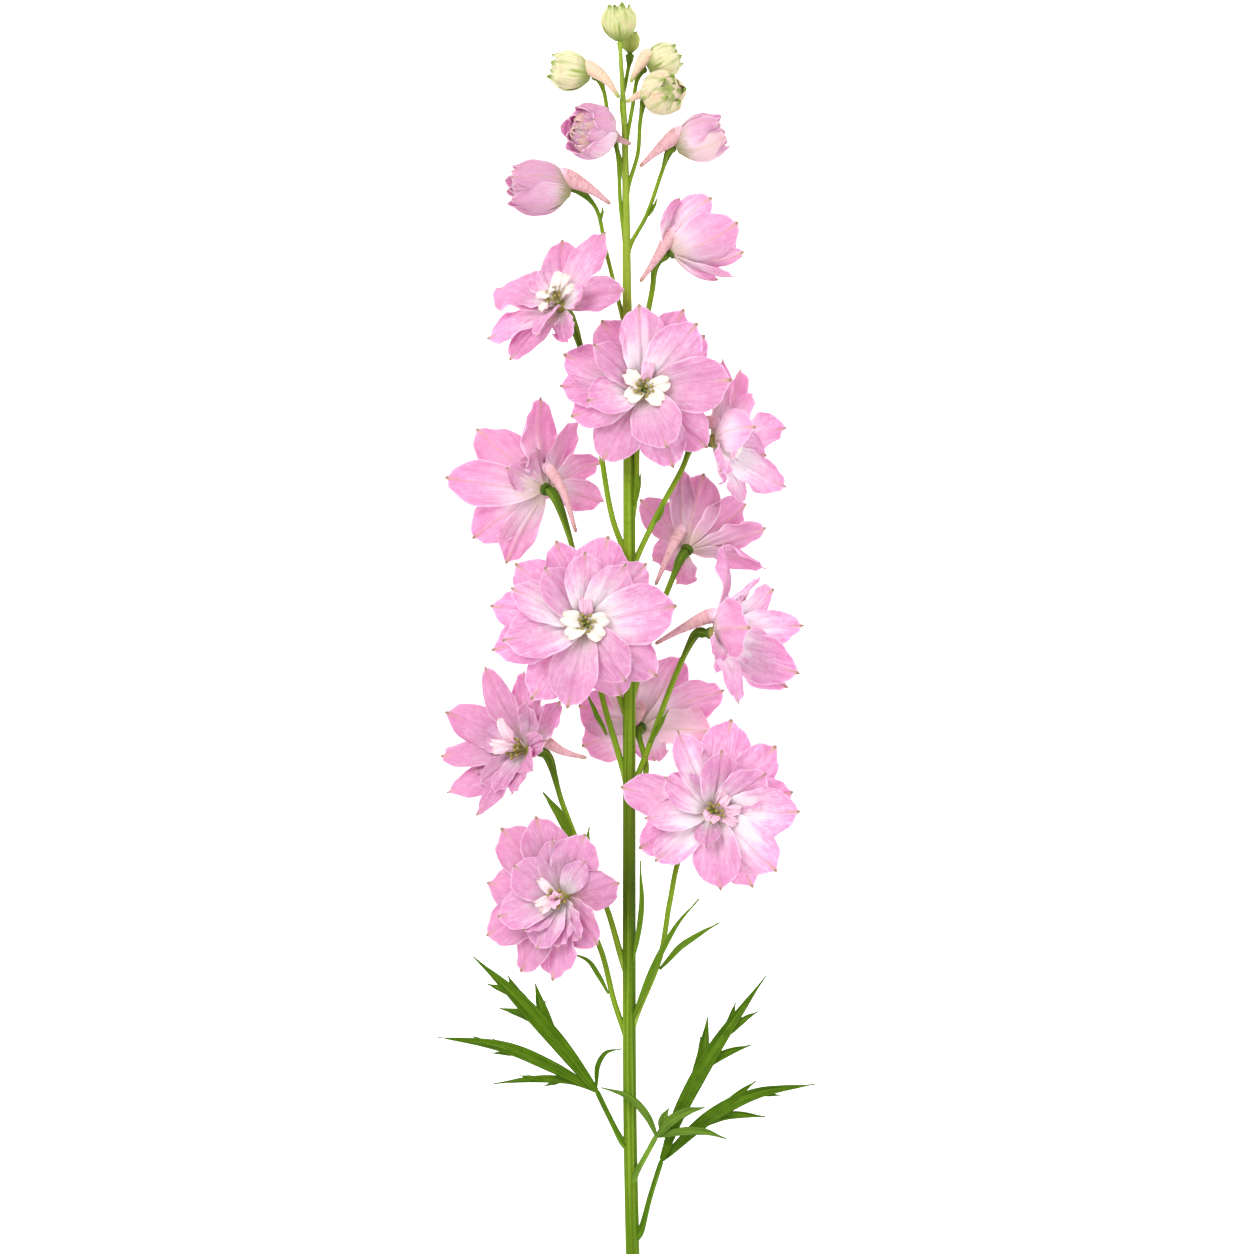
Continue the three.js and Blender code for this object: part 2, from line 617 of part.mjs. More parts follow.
/** The heart of a bloom, a small gap above its core. */
function bloomHeart({ seat, facing }) {
  const axis = vector(facing).normalize();
  const origin = alongSide(vector(seat), [axis, CORE_TOP + SEAT_GAP]);
  const across = new THREE.Vector3(1, 1, 0).projectOnPlane(axis).normalize();
  const up = axis.clone().cross(across);
  return skin(HEART_RINGS.map(([height, lobe, gap]) => (
    ringOf(alongSide(origin, [axis, height]), across, up, 1, 2 * HEART_LOBES, (side) => (
      side % 2 ? gap : lobe
    ))
  )));
}

// A closed bud: share of its length and of its half width at each ring, over five low ribs
const BUD_RINGS = [
  [0, 0.3],
  [0.2, 0.8],
  [0.48, 1],
  [0.8, 0.74],
  [1, 0.18],
];
const BUD_SIDES = 10;
const BUD_RIB = 0.1;

// The spur of a bud, in shares of the bud's length: where it starts and how it bows
const BUD_SPUR = { along: 0.22, across: 0.14, bow: 0.1, radius: 1.3 };

/** A closed bud with its spur, where it has one. */
function closedBud({ base, facing, length, width, spur }) {
  const origin = vector(base);
  const axis = vector(facing).normalize();
  const across = new THREE.Vector3(0, 0, 1).projectOnPlane(axis).normalize();
  const up = axis.clone().cross(across);
  const lobe = (side) => 1 - BUD_RIB * (side % 2);
  const body = skin(BUD_RINGS.map(([share, swell]) => {
    const centre = alongSide(origin, [axis, share * length]);
    return ringOf(centre, across, up, (swell * width) / 2, BUD_SIDES, lobe);
  }));
  if (!spur) {
    return body;
  }
  return joined([body, budSpur(origin, axis, across, spur, length)]);
}

/** A spur that leaves the back of a bud beside its stalk and tapers to its tip. */
function budSpur(origin, axis, across, spur, length) {
  const root = alongSide(origin, [axis, BUD_SPUR.along * length], [across, BUD_SPUR.across * length]);
  const tip = origin.clone().add(vector(spur));
  const middle = alongSide(root.clone().lerp(tip, 0.5), [across, BUD_SPUR.bow * length]);
  const radiusAt = (share) => THREE.MathUtils.lerp(BUD_SPUR.radius, SPUR_TIP_RADIUS, share);
  return tube([root, middle, tip], radiusAt, SPUR_SIDES, SPUR_BENDS);
}

// The petals of an opening bud: how far they lap round it, where they start on its axis, how their
// lengths, bearings and mouths differ, and how they bulge, cup and narrow
const BUD_PETAL = {
  lap: 1.3,
  start: 0.4,
  lengthPlay: 0.08,
  bearingPlay: 0.2,
  mouthStep: 0.5,
  bulge: 1.9,
  cup: 0.3,
  taper: 0.3,
};

// The core inside an opening bud: [share of the belly, share of the length]
const BUD_CORE = [
  [0, 0],
  [0.3, 0],
  [0.62, 0.3],
  [0.5, 0.62],
  [0, 0.8],
];

/** An opening bud: its core, its spur and its cupped petals. */
function openingBud({ base, facing, length, belly, mouth, petals, spur }, number) {
  const origin = vector(base);
  const axis = vector(facing).normalize();
  const across = new THREE.Vector3(0, 0, 1).projectOnPlane(axis).normalize();
  const up = axis.clone().cross(across);
  const cups = Array.from({ length: petals }, (_, place) => {
    const angle = (2 * Math.PI * place) / petals + BUD_PETAL.bearingPlay * vary(place, number);
    const outward = alongSide(new THREE.Vector3(), [across, Math.cos(angle)], [up, Math.sin(angle)]);
    const reach = length * (1 - BUD_PETAL.lengthPlay * (1 + vary(place, number + 2)));
    return petal({
      root: alongSide(origin, [axis, BUD_PETAL.start], [outward, ROOT_RADIUS]),
      tip: alongSide(origin, [axis, reach], [outward, mouth - BUD_PETAL.mouthStep * (place % 2)]),
      side: axis.clone().cross(outward),
      width: (BUD_PETAL.lap * 2 * Math.PI * belly) / petals,
      arch: (-BUD_PETAL.bulge * (belly - mouth / 2)) / length,
      cup: BUD_PETAL.cup,
      twist: 0,
      taper: BUD_PETAL.taper,
    });
  });
  const profile = BUD_CORE.map(([wide, high]) => [wide * belly, high * length]);
  const core = solidOf(placed(turned(profile, CORE_SIDES), origin, axis));
  return joined([core, budSpur(origin, axis, across, spur, length), ...cups]);
}

const BLADE_ENDS = 0.45; // the share of its width that a leaf blade keeps near its ends

/** A narrow leaf blade along its midline, lying as flat as the midline allows. */
function leafBlade(row) {
  const width = row.at(-1);
  const points = row.slice(0, -1).map(vector);
  const curve = new THREE.CatmullRomCurve3(points, false, 'centripetal');
  const steps = points.length - 1;
  const rows = Array.from({ length: steps + 1 }, (_, step) => {
    const share = step / steps;
    const tangent = curve.getTangentAt(share);
    const side = new THREE.Vector3(0, 0, 1).cross(tangent).normalize();
    const normal = tangent.clone().cross(side).normalize();
    const centre = curve.getPointAt(share);
    if (step === 0 || step === steps) {
      return [{ point: centre, normal }];
    }
    const spread = THREE.MathUtils.lerp(BLADE_ENDS, 1, Math.sin(Math.PI * share));
    const half = (width / 2) * spread;
    return [-half, half].map((reach) => ({ point: alongSide(centre, [side, reach]), normal }));
  });
  return blade(rows, steps > 2 ? LEAF_THICK : LOBE_THICK);
}

/** The main stem as one tapering tube, its foot cut on a slant. */
function mainStem(grow = 0) {
  const climb = new THREE.Vector3(0, 1, STEM_CLIMB).normalize();
  const across = new THREE.Vector3(1, 0, 0);
  const up = across.clone().cross(climb);
  const rings = STEM_STATIONS.map(([x, y, radius]) => {
    const centre = new THREE.Vector3(x, y, stemHeight(y));
    return ringOf(centre, up, across, radius + grow, STEM_SIDES);
  });
  rings[0] = rings[0].map((point) => {
    const over = point.z - CUT_AXIS_HEIGHT;
    return alongSide(point, [climb, CUT_SLANT * over]);
  });
  return skin(rings);
}

/** A flower stalk from inside the stem to its flower, swelling under it. */
function pedicel(stalk, seat, facing, { radius, swelling, steps }) {
  const axis = vector(facing).normalize();
  const end = alongSide(vector(seat), [axis, -SEAT_GAP]);
  const points = [...stalk.map(vector), alongSide(end, [axis, -APPROACH]), end];
  const swollen = (share) => Math.max(0, 1 - (1 - share) / SWELLING_SHARE);
  const radiusAt = (share) => THREE.MathUtils.lerp(radius, swelling, swollen(share));
  return tube(points, radiusAt, STALK_SIDES, steps);
}

/** The stem with all its flower stalks and bracts. The bud at its very tip has no stalk. */
function greenStem() {
  const stalked = [...CLOSED_BUDS, ...OPENING_BUDS].filter(({ stalk }) => stalk);
  return joined([
    mainStem(),
    ...BLOOMS.map(({ stalk, seat, facing }) => pedicel(stalk, seat, facing, BLOOM_STALK)),
    ...stalked.map(({ stalk, base, facing }) => pedicel(stalk, base, facing, BUD_STALK)),
    ...BRACTS.map(leafBlade),
  ]);
}

/** A leaf: its stalk and blades as one body, cut back to a small gap round the stem. */
function leaf({ stalk, blades }) {
  const stem = mainStem(SEAT_GAP);
  const rib = tube(stalk.map(vector), () => PETIOLE_RADIUS, STALK_SIDES, stalk.length - 1);
  return mainBody(joined([rib, ...blades.map(leafBlade)]).subtract(stem));
}

/** A number as two digits. */
const twoDigits = (number) => String(number).padStart(2, '0');

const plant = new THREE.Group();
plant.add(meshOf('stem', greenStem(), GREEN));
Object.entries(LEAVES).forEach(([name, shape]) => plant.add(meshOf(name, leaf(shape), LEAF_GREEN)));
BLOOMS.forEach((bloom, place) => {
  const name = `bloom_${twoDigits(place + 1)}`;
  plant.add(meshOf(`${name}_petals`, bloomPetals(bloom, place), PINK));
  plant.add(meshOf(`${name}_centre`, bloomHeart(bloom), CREAM));
});
CLOSED_BUDS.forEach((bud, place) => plant.add(meshOf(`bud_${place + 1}`, closedBud(bud), BUD_PALE)));
OPENING_BUDS.forEach((bud, place) => {
  plant.add(meshOf(`bud_${CLOSED_BUDS.length + place + 1}`, openingBud(bud, place), PINK));
});

const box = new THREE.Box3().setFromObject(plant);
plant.position.set(-(box.min.x + box.max.x) / 2, -(box.min.y + box.max.y) / 2, -box.min.z);

const larkspur = new THREE.Group();
larkspur.add(plant);

export default larkspur;
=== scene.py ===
"""A larkspur lying on a pale floor, seen from straight above.

One cut stem carries eleven open double blooms, nine buds and three leaves. All lengths are in
millimetres in the plant's own frame, where the stem runs along +Y close to x = 0, and are turned
into metres of the world's frame when a mesh is made.
"""

import logging
import math
from dataclasses import dataclass, field, replace
from enum import Enum, IntEnum

import bpy
import numpy as np
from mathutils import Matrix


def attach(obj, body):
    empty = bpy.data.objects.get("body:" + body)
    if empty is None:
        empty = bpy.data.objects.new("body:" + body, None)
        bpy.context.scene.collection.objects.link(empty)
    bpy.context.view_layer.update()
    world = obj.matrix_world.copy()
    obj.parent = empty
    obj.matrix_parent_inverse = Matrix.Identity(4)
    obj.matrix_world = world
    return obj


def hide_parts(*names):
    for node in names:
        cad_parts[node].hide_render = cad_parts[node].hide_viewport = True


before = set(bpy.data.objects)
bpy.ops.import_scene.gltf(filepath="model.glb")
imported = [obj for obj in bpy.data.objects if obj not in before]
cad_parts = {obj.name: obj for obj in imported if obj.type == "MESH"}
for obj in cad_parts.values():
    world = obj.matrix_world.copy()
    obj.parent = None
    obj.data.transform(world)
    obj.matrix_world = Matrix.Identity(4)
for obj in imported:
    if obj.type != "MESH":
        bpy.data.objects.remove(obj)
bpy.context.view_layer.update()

LOG = logging.getLogger("larkspur")
Socket = bpy.types.NodeSocket
Material = bpy.types.Material

MM = 0.001
TINY = 1e-9
UP = np.array((0.0, 0.0, 1.0))
AHEAD = np.array((0.0, 1.0, 0.0))
ASLANT = np.array((1.0, 1.0, 0.0))
PLANT_OFFSET = np.array((0.2045, -139.5818, 0.0313))  # from the plant's frame to the world's
FLOOR_CLEAR = 0.13  # least height of the middle of a thin sheet over the floor
UV_NAME = "Growth"
NOTES_NAME = "notes"
SHARP_ANGLE = math.radians(58)

CUT_Y = -20.0
CUT_SLANT = 0.6  # how far the cut reaches along for each step up
CUT_AXIS_HEIGHT = 1.82
STEM_CLIMB = 0.1037  # how much the stem rises for each step towards the tip
STEM_STATIONS = (  # the middle of the stem across and along, and its radius
    (1.7, -20, 1.72),
    (0.6, 37, 1.62),
    (0.5, 110, 1.52),
    (0.5, 181, 1.44),
    (0, 229, 1.08),
    (-0.6, 270, 0.72),
    (-1.6, 288.6, 0.5),
    (-1.7, 291.4, 0.95),
)
SEAT_GAP = 0.3  # between a stalk and its flower, and between the core and the heart
CORE_TOP = 3.2


class Kind(IntEnum):
    """What a patch of a mesh is, kept with its points for the finishes."""

    PETAL = 0
    SPUR = 1
    CORE = 2
    LOBE = 3
    STAMEN = 4
    CARPEL = 5
    SEPAL = 6
    STEM = 7
    STALK = 8
    CUT = 9
    BLADE = 10


def srgb(red: int, green: int, blue: int) -> tuple[float, float, float, float]:
    """A colour of 0 to 255 a channel, as a linear colour with alpha 1."""
    share = np.array((red, green, blue)) / 255
    linear = np.where(share <= 0.04045, share / 12.92, ((share + 0.055) / 1.055) ** 2.4)
    return (*linear.tolist(), 1.0)


def unit(vectors: np.ndarray) -> np.ndarray:
    """The vectors along the last axis, each at length 1."""
    return vectors / np.maximum(np.linalg.norm(vectors, axis=-1, keepdims=True), TINY)


def across_axis(vector: np.ndarray, axis: np.ndarray) -> np.ndarray:
    """The part of a vector that stands square to an axis, at length 1."""
    return unit(vector - axis * (vector @ axis))


def around(axis: np.ndarray, start: np.ndarray, angle: float) -> np.ndarray:
    """The direction square to an axis, at an angle round it from the side where start lies."""
    across = across_axis(start, axis)
    return across * math.cos(angle) + np.cross(axis, across) * math.sin(angle)


def ease(values: np.ndarray, low: float, high: float) -> np.ndarray:
    """A smooth step from 0 at low to 1 at high."""
    share = np.clip((values - low) / (high - low), 0, 1)
    return share * share * (3 - 2 * share)


def blend(start: float, end: float, share: np.ndarray) -> np.ndarray:
    """The value between start and end at a share."""
    return start + (end - start) * share


def vary(place: int, start: int) -> float:
    """A small steady difference between neighbours, from -1 to 1, as a sine of both numbers."""
    return math.sin(2.4 * place + 1.7 * start)


def even(points: np.ndarray, steps: int) -> np.ndarray:
    """Points at even spacing along a polyline, steps + 1 of them."""
    runs = np.linalg.norm(np.diff(points, axis=0), axis=1)
    travelled = np.concatenate(([0.0], np.cumsum(runs)))
    wanted = np.linspace(0, travelled[-1], steps + 1)
    return np.column_stack([np.interp(wanted, travelled, line) for line in points.T])


def smooth_path(points: tuple | list | np.ndarray, steps: int, fine: int = 24) -> np.ndarray:
    """A centripetal Catmull-Rom curve through points.

    Each stretch is a cubic whose end slopes come from the neighbouring points, weighted by the
    square roots of the gaps between them.

    Args:
        points: the points the curve passes through, in order.
        steps: how many equal stretches to return.
        fine: how many samples each stretch gets before they are spaced evenly.

    Returns:
        The steps + 1 points of the curve.
    """
    knots = np.asarray(points, float)
    held = np.vstack((2 * knots[0] - knots[1], knots, 2 * knots[-1] - knots[-2]))
    gaps = np.sqrt(np.linalg.norm(np.diff(held, axis=0), axis=1))[:, None]
    before, here, after = gaps[:-2], gaps[1:-1], gaps[2:]
    first, start, end, last = held[:-3], held[1:-2], held[2:-1], held[3:]
    leave = (start - first) / before - (end - first) / (before + here) + (end - start) / here
    arrive = (end - start) / here - (last - start) / (here + after) + (last - end) / after
    share = np.linspace(0, 1, fine)[:, None, None]
    square, cube = share**2, share**3
    curve = (
        (2 * cube - 3 * square + 1) * start
        + (cube - 2 * square + share) * leave * here
        + (3 * square - 2 * cube) * end
        + (cube - square) * arrive * here
    )
    return even(curve.transpose(1, 0, 2).reshape(-1, 3), steps)


def path_frame(path: np.ndarray) -> tuple[np.ndarray, np.ndarray, np.ndarray]:
    """The tangents of a path and two directions across it.

    The first direction across leans on the one direction that the tangents share least, so that
    it hardly turns about the path.

    Args:
        path: points along the path.

    Returns:
        Tangents, directions across, and the directions square to both.
    """
    along = unit(np.gradient(path, axis=0))
    steady = np.linalg.svd(along, full_matrices=False)[2][-1]
    side = unit(steady - along * (along @ steady)[:, None])
    return along, side, np.cross(along, side)


def nosed(share: np.ndarray, nose: float, least: float = 0.08) -> np.ndarray:
    """How a tube of radius 1 closes to a round nose over the last share of its length."""
    into = np.clip(1 - (1 - share) / nose, 0, 1)
    return np.maximum(np.sqrt(1 - into**2), least)


def corners_of(grid: np.ndarray) -> np.ndarray:
    """The four corners of every cell of a grid, in turn round the cell."""
    return np.stack((grid[:-1, :-1], grid[:-1, 1:], grid[1:, 1:], grid[1:, :-1]), axis=2)


@dataclass
class MeshParts:
    """Closed skins that are gathered into one mesh."""

    points: list = field(default_factory=list)
    faces: list = field(default_factory=list)
    shares: list = field(default_factory=list)
    notes: list = field(default_factory=list)
    count: int = 0

    def add_skin(self, rings: np.ndarray, columns: np.ndarray, notes: np.ndarray, sheet: bool) -> None:
        """Adds a skin over rings of points and zips both ends shut.

        Args:
            rings: points as rows by columns by 3; every row is a closed ring of an even number.
            columns: the share across of each column, and of the first one once more.
            notes: tint, side and kind of the points, in any shape that spreads over the rings.
            sheet: whether the rings turn the other way, as those of a sheet do.
        """
        rows, sides = rings.shape[:2]
        index = self.count + np.arange(rows * sides).reshape(rows, sides)
        along = np.linspace(0, 1, rows)[:, None]
        share = np.stack(np.broadcast_arrays(columns[None, :], along), axis=-1)
        wall = corners_of(np.column_stack((index, index[:, 0]))).reshape(-1, 4)
        wall_share = corners_of(share).reshape(-1, 4, 2)
        near = np.arange(sides // 2 - 1)
        cap = np.stack((near, near + 1, sides - 2 - near, sides - 1 - near), axis=1)
        faces = np.concatenate((wall, index[0][cap][:, ::-1], index[-1][cap]))
        corners = np.concatenate((wall_share, share[0][cap][:, ::-1], share[-1][cap]))
        self.points.append(rings.reshape(-1, 3))
        self.faces.append(faces[:, ::-1] if sheet else faces)
        self.shares.append(corners[:, ::-1] if sheet else corners)
        self.notes.append(np.broadcast_to(notes, (rows, sides, 3)).reshape(-1, 3))
        self.count += rows * sides

    def add_sheet(self, surface: np.ndarray, across: np.ndarray, thick: np.ndarray, note: tuple) -> None:
        """Adds a thin sheet about a surface, its front towards the cross of along and across.

        Args:
            surface: points as rows along by columns across by 3.
            across: the place of each column, from -1 to 1.
            thick: thickness at each point, in any shape that spreads over the surface.
            note: tint and kind of the sheet.
        """
        middle = surface.copy()
        middle[..., 2] = np.maximum(middle[..., 2], FLOOR_CLEAR - PLANT_OFFSET[2])
        normal = unit(np.cross(np.gradient(middle, axis=0), np.gradient(middle, axis=1)))
        half = np.broadcast_to(thick, surface.shape[:2])[..., None] / 2
        front, back = middle + normal * half, middle - normal * half
        rings = np.concatenate((front, back[:, ::-1]), axis=1)
        share = (across + 1) / 2
        columns = np.concatenate((share, share[::-1], share[:1]))
        side = np.repeat((0.0, 1.0), len(across))
        tint, kind = note
        notes = np.stack(np.broadcast_arrays(tint, side, float(kind)), axis=-1)
        self.add_skin(rings, columns, notes[None], sheet=True)

    def add_tube(self, path: np.ndarray, radii: np.ndarray, sides: int, note: tuple) -> None:
        """Adds a tube round a path.

        Args:
            path: points along the middle.
            radii: the radius at each point of the path, or at each point of every ring.
            sides: how many points a ring has.
            note: tint and kind of the tube.
        """
        _, side, up = path_frame(path)
        angle = np.linspace(0, 2 * np.pi, sides, endpoint=False)[None, :, None]
        reach = radii[..., None] if radii.ndim > 1 else radii[:, None, None]
        out = side[:, None] * np.cos(angle) + up[:, None] * np.sin(angle)
        rings = path[:, None] + out * reach
        tint, kind = note
        notes = np.array((tint, 0.0, float(kind)))
        self.add_skin(rings, np.linspace(0, 1, sides + 1), notes, sheet=False)

    def mesh(self, name: str) -> bpy.types.Mesh:
        """The gathered skins as one mesh in metres of the world's frame.

        Args:
            name: the name of the mesh.

        Returns:
            The mesh with its share map and its notes.
        """
        points = ((np.concatenate(self.points) + PLANT_OFFSET) * MM).astype(np.float32)
        faces = np.concatenate(self.faces).astype(np.int32)
        mesh = bpy.data.meshes.new(name)
        mesh.vertices.add(len(points))
        mesh.vertices.foreach_set("co", points.ravel())
        mesh.loops.add(faces.size)
        mesh.loops.foreach_set("vertex_index", faces.ravel())
        mesh.polygons.add(len(faces))
        mesh.polygons.foreach_set("loop_start", np.arange(0, faces.size, 4, dtype=np.int32))
        mesh.update(calc_edges=True)
        shares = mesh.uv_layers.new(name=UV_NAME)
        shares.data.foreach_set("uv", np.concatenate(self.shares).astype(np.float32).ravel())
        notes = mesh.attributes.new(NOTES_NAME, "FLOAT_VECTOR", "POINT")
        notes.data.foreach_set("vector", np.concatenate(self.notes).astype(np.float32).ravel())
        mesh.polygons.foreach_set("use_smooth", np.ones(len(faces), dtype=bool))
        mesh.set_sharp_from_angle(angle=SHARP_ANGLE)
        mesh.validate()
        return mesh


def put(name: str, data: bpy.types.ID) -> bpy.types.Object:
    """A new object of the scene that shows the data."""
    thing = bpy.data.objects.new(name, data)
    bpy.context.scene.collection.objects.link(thing)
    return thing


def add_piece(parts: MeshParts, name: str, finish: Material, node: str) -> None:
    """Makes an object from gathered skins and lets it stand for a node.

    Args:
        parts: the gathered skins.
        name: the object's name.
        finish: its material.
        node: the node that it is shown in place of.
    """
    mesh = parts.mesh(name)
    mesh.materials.append(finish)
    piece = put(name, mesh)
    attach(piece, "root")
    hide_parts(node)
    LOG.info("%s stands for %s: %d faces", name, node, len(mesh.polygons))


@dataclass(frozen=True)
class Surface:
    """How a surface takes light.

    relief is the depth of its relief in metres, shine its gloss, and deepening how much deeper the
    light that goes through it is in colour.
    """

    roughness: float
    relief: float
    shine: float = 0.16
    deepening: float = 0.5


@dataclass(frozen=True)
class Veil:
    """A colour laid over another: none of it where a value is at start, its strength at full."""

    colour: tuple
    start: float
    full: float
    strength: float = 1.0


class Graph:
    """The node tree of one material, built up socket by socket."""

    def __init__(self, name: str) -> None:
        """Starts an empty material."""
        self.material = bpy.data.materials.new(name)
        self.material.use_nodes = True
        self.nodes = self.material.node_tree.nodes
        self.links = self.material.node_tree.links
        self.nodes.clear()

    def add(self, kind: str, fields: dict, inputs: dict) -> bpy.types.Node:
        """Adds a node.

        Args:
            kind: the node's type, after the words ShaderNode.
            fields: its own settings by name.
            inputs: values or sockets by the name or number of its inputs.

        Returns:
            The new node.
        """
        node = self.nodes.new(f"ShaderNode{kind}")
        for name, value in fields.items():
            setattr(node, name, value)
        for name, value in inputs.items():
            if isinstance(value, Socket):
                self.links.new(value, node.inputs[name])
            else:
                node.inputs[name].default_value = value
        return node

    def math(self, operation: str, *values: object) -> Socket:
        """The result of a sum on one to three values."""
        node = self.add("Math", {"operation": operation}, dict(enumerate(values)))
        return node.outputs[0]

    def gather(self, operation: str, *values: object) -> Socket:
        """One value from two or more, by the same sum with each in turn."""
        found, *others = values
        for other in others:
            found = self.math(operation, found, other)
        return found

    def times(self, *values: object) -> Socket:
        """The product of two or more values."""
        return self.gather("MULTIPLY", *values)

    def scaled(self, value: object, scale: float, plus: object) -> Socket:
        """A value times a scale, plus another value."""
        return self.math("MULTIPLY_ADD", value, scale, plus)

    def most(self, *values: object) -> Socket:
        """The greatest of two or more values."""
        return self.gather("MAXIMUM", *values)

    def step(self, value: object, low: float, high: float) -> Socket:
        """A smooth step of a value from 0 at low to 1 at high, which may lie either way."""
        inputs = {"Value": value, "From Min": low, "From Max": high}
        return self.add("MapRange", {"interpolation_type": "SMOOTHSTEP"}, inputs).outputs[0]

    def ramp(self, value: object, stops: tuple) -> Socket:
        """A colour that changes through stops of place and colour."""
        node = self.add("ValToRGB", {}, {"Fac": value})
        first, *others = stops
        elements = node.color_ramp.elements
        elements.remove(elements[1])
        elements[0].position, elements[0].color = first
        for place, colour in others:
            elements.new(place).color = colour
        return node.outputs["Color"]

    def mix(self, share: object, first: object, second: object, way: str = "MIX") -> Socket:
        """Two colours mixed by a share of the second."""
        inputs = {0: share, 6: first, 7: second}
        return self.add("Mix", {"data_type": "RGBA", "blend_type": way}, inputs).outputs[2]

    def lay(self, under: object, veil: Veil, value: object, *shares: object) -> Socket:
        """A colour under a veil that follows a value, weakened by further shares."""
        share = self.times(self.step(value, veil.start, veil.full), *shares, veil.strength)
        return self.mix(share, under, veil.colour)

    def combine(self, first: object, second: object, third: object) -> Socket:
        """A vector from its parts."""
        return self.add("CombineXYZ", {}, {0: first, 1: second, 2: third}).outputs[0]

    def separate(self, vector: Socket) -> list[Socket]:
        """The parts of a vector."""
        return list(self.add("SeparateXYZ", {}, {0: vector}).outputs)

    def noise(self, vector: object, scale: float, detail: float = 2.0) -> Socket:
        """Soft noise from 0 to 1."""
        return self.add("TexNoise", {}, {"Vector": vector, "Scale": scale, "Detail": detail}).outputs[0]

    def streaks(self, across: object, along: object, shift: object, detail: float = 3.0) -> Socket:
        """Noise drawn out by the scales of across and along, moved by a shift."""
        return self.noise(self.combine(across, along, shift), 1.0, detail)

    def growth(self) -> tuple[Socket, Socket, Socket]:
        """The shares across and along the patch, and how far off its midline."""
        across, along, _ = self.separate(self.add("UVMap", {"uv_map": UV_NAME}, {}).outputs[0])
        return across, along, self.math("ABSOLUTE", self.scaled(across, 2.0, -1.0))

    def note(self) -> list[Socket]:
        """The tint, the side and the kind of the patch."""
        node = self.add("Attribute", {"attribute_name": NOTES_NAME}, {})
        return self.separate(node.outputs["Vector"])

    def is_kind(self, kind: Socket, wanted: Kind) -> Socket:
        """1 where the patch is of a kind, 0 elsewhere."""
        return self.math("COMPARE", kind, float(wanted), 0.5)

    def place(self) -> Socket:
        """The place in the object, in metres."""
        return self.add("TexCoord", {}, {}).outputs["Object"]

    def finish(self, colour: object, look: Surface, height: object, thin: object = None) -> Material:
        """Closes the tree with a soft surface.

        Args:
            colour: the colour of the surface.
            look: how rough, glossy and uneven it is.
            height: the fine relief, from 0 to 1.
            thin: the share of light that goes through, for a thin sheet.

        Returns:
            The finished material.
        """
        relief = {"Strength": 1.0, "Distance": look.relief, "Height": height}
        bump = self.add("Bump", {}, relief).outputs[0]
        inputs = {
            "Base Color": colour,
            "Roughness": look.roughness,
            "Specular IOR Level": look.shine,
            "Normal": bump,
        }
        shader = self.add("BsdfPrincipled", {}, inputs).outputs[0]
        if thin is not None:
            deeper = self.mix(look.deepening, colour, colour, "MULTIPLY")
            through = self.add("BsdfTranslucent", {}, {"Color": deeper, "Normal": bump}).outputs[0]
            shader = self.add("MixShader", {}, {0: thin, 1: shader, 2: through}).outputs[0]
        self.add("OutputMaterial", {}, {"Surface": shader})
        return self.material


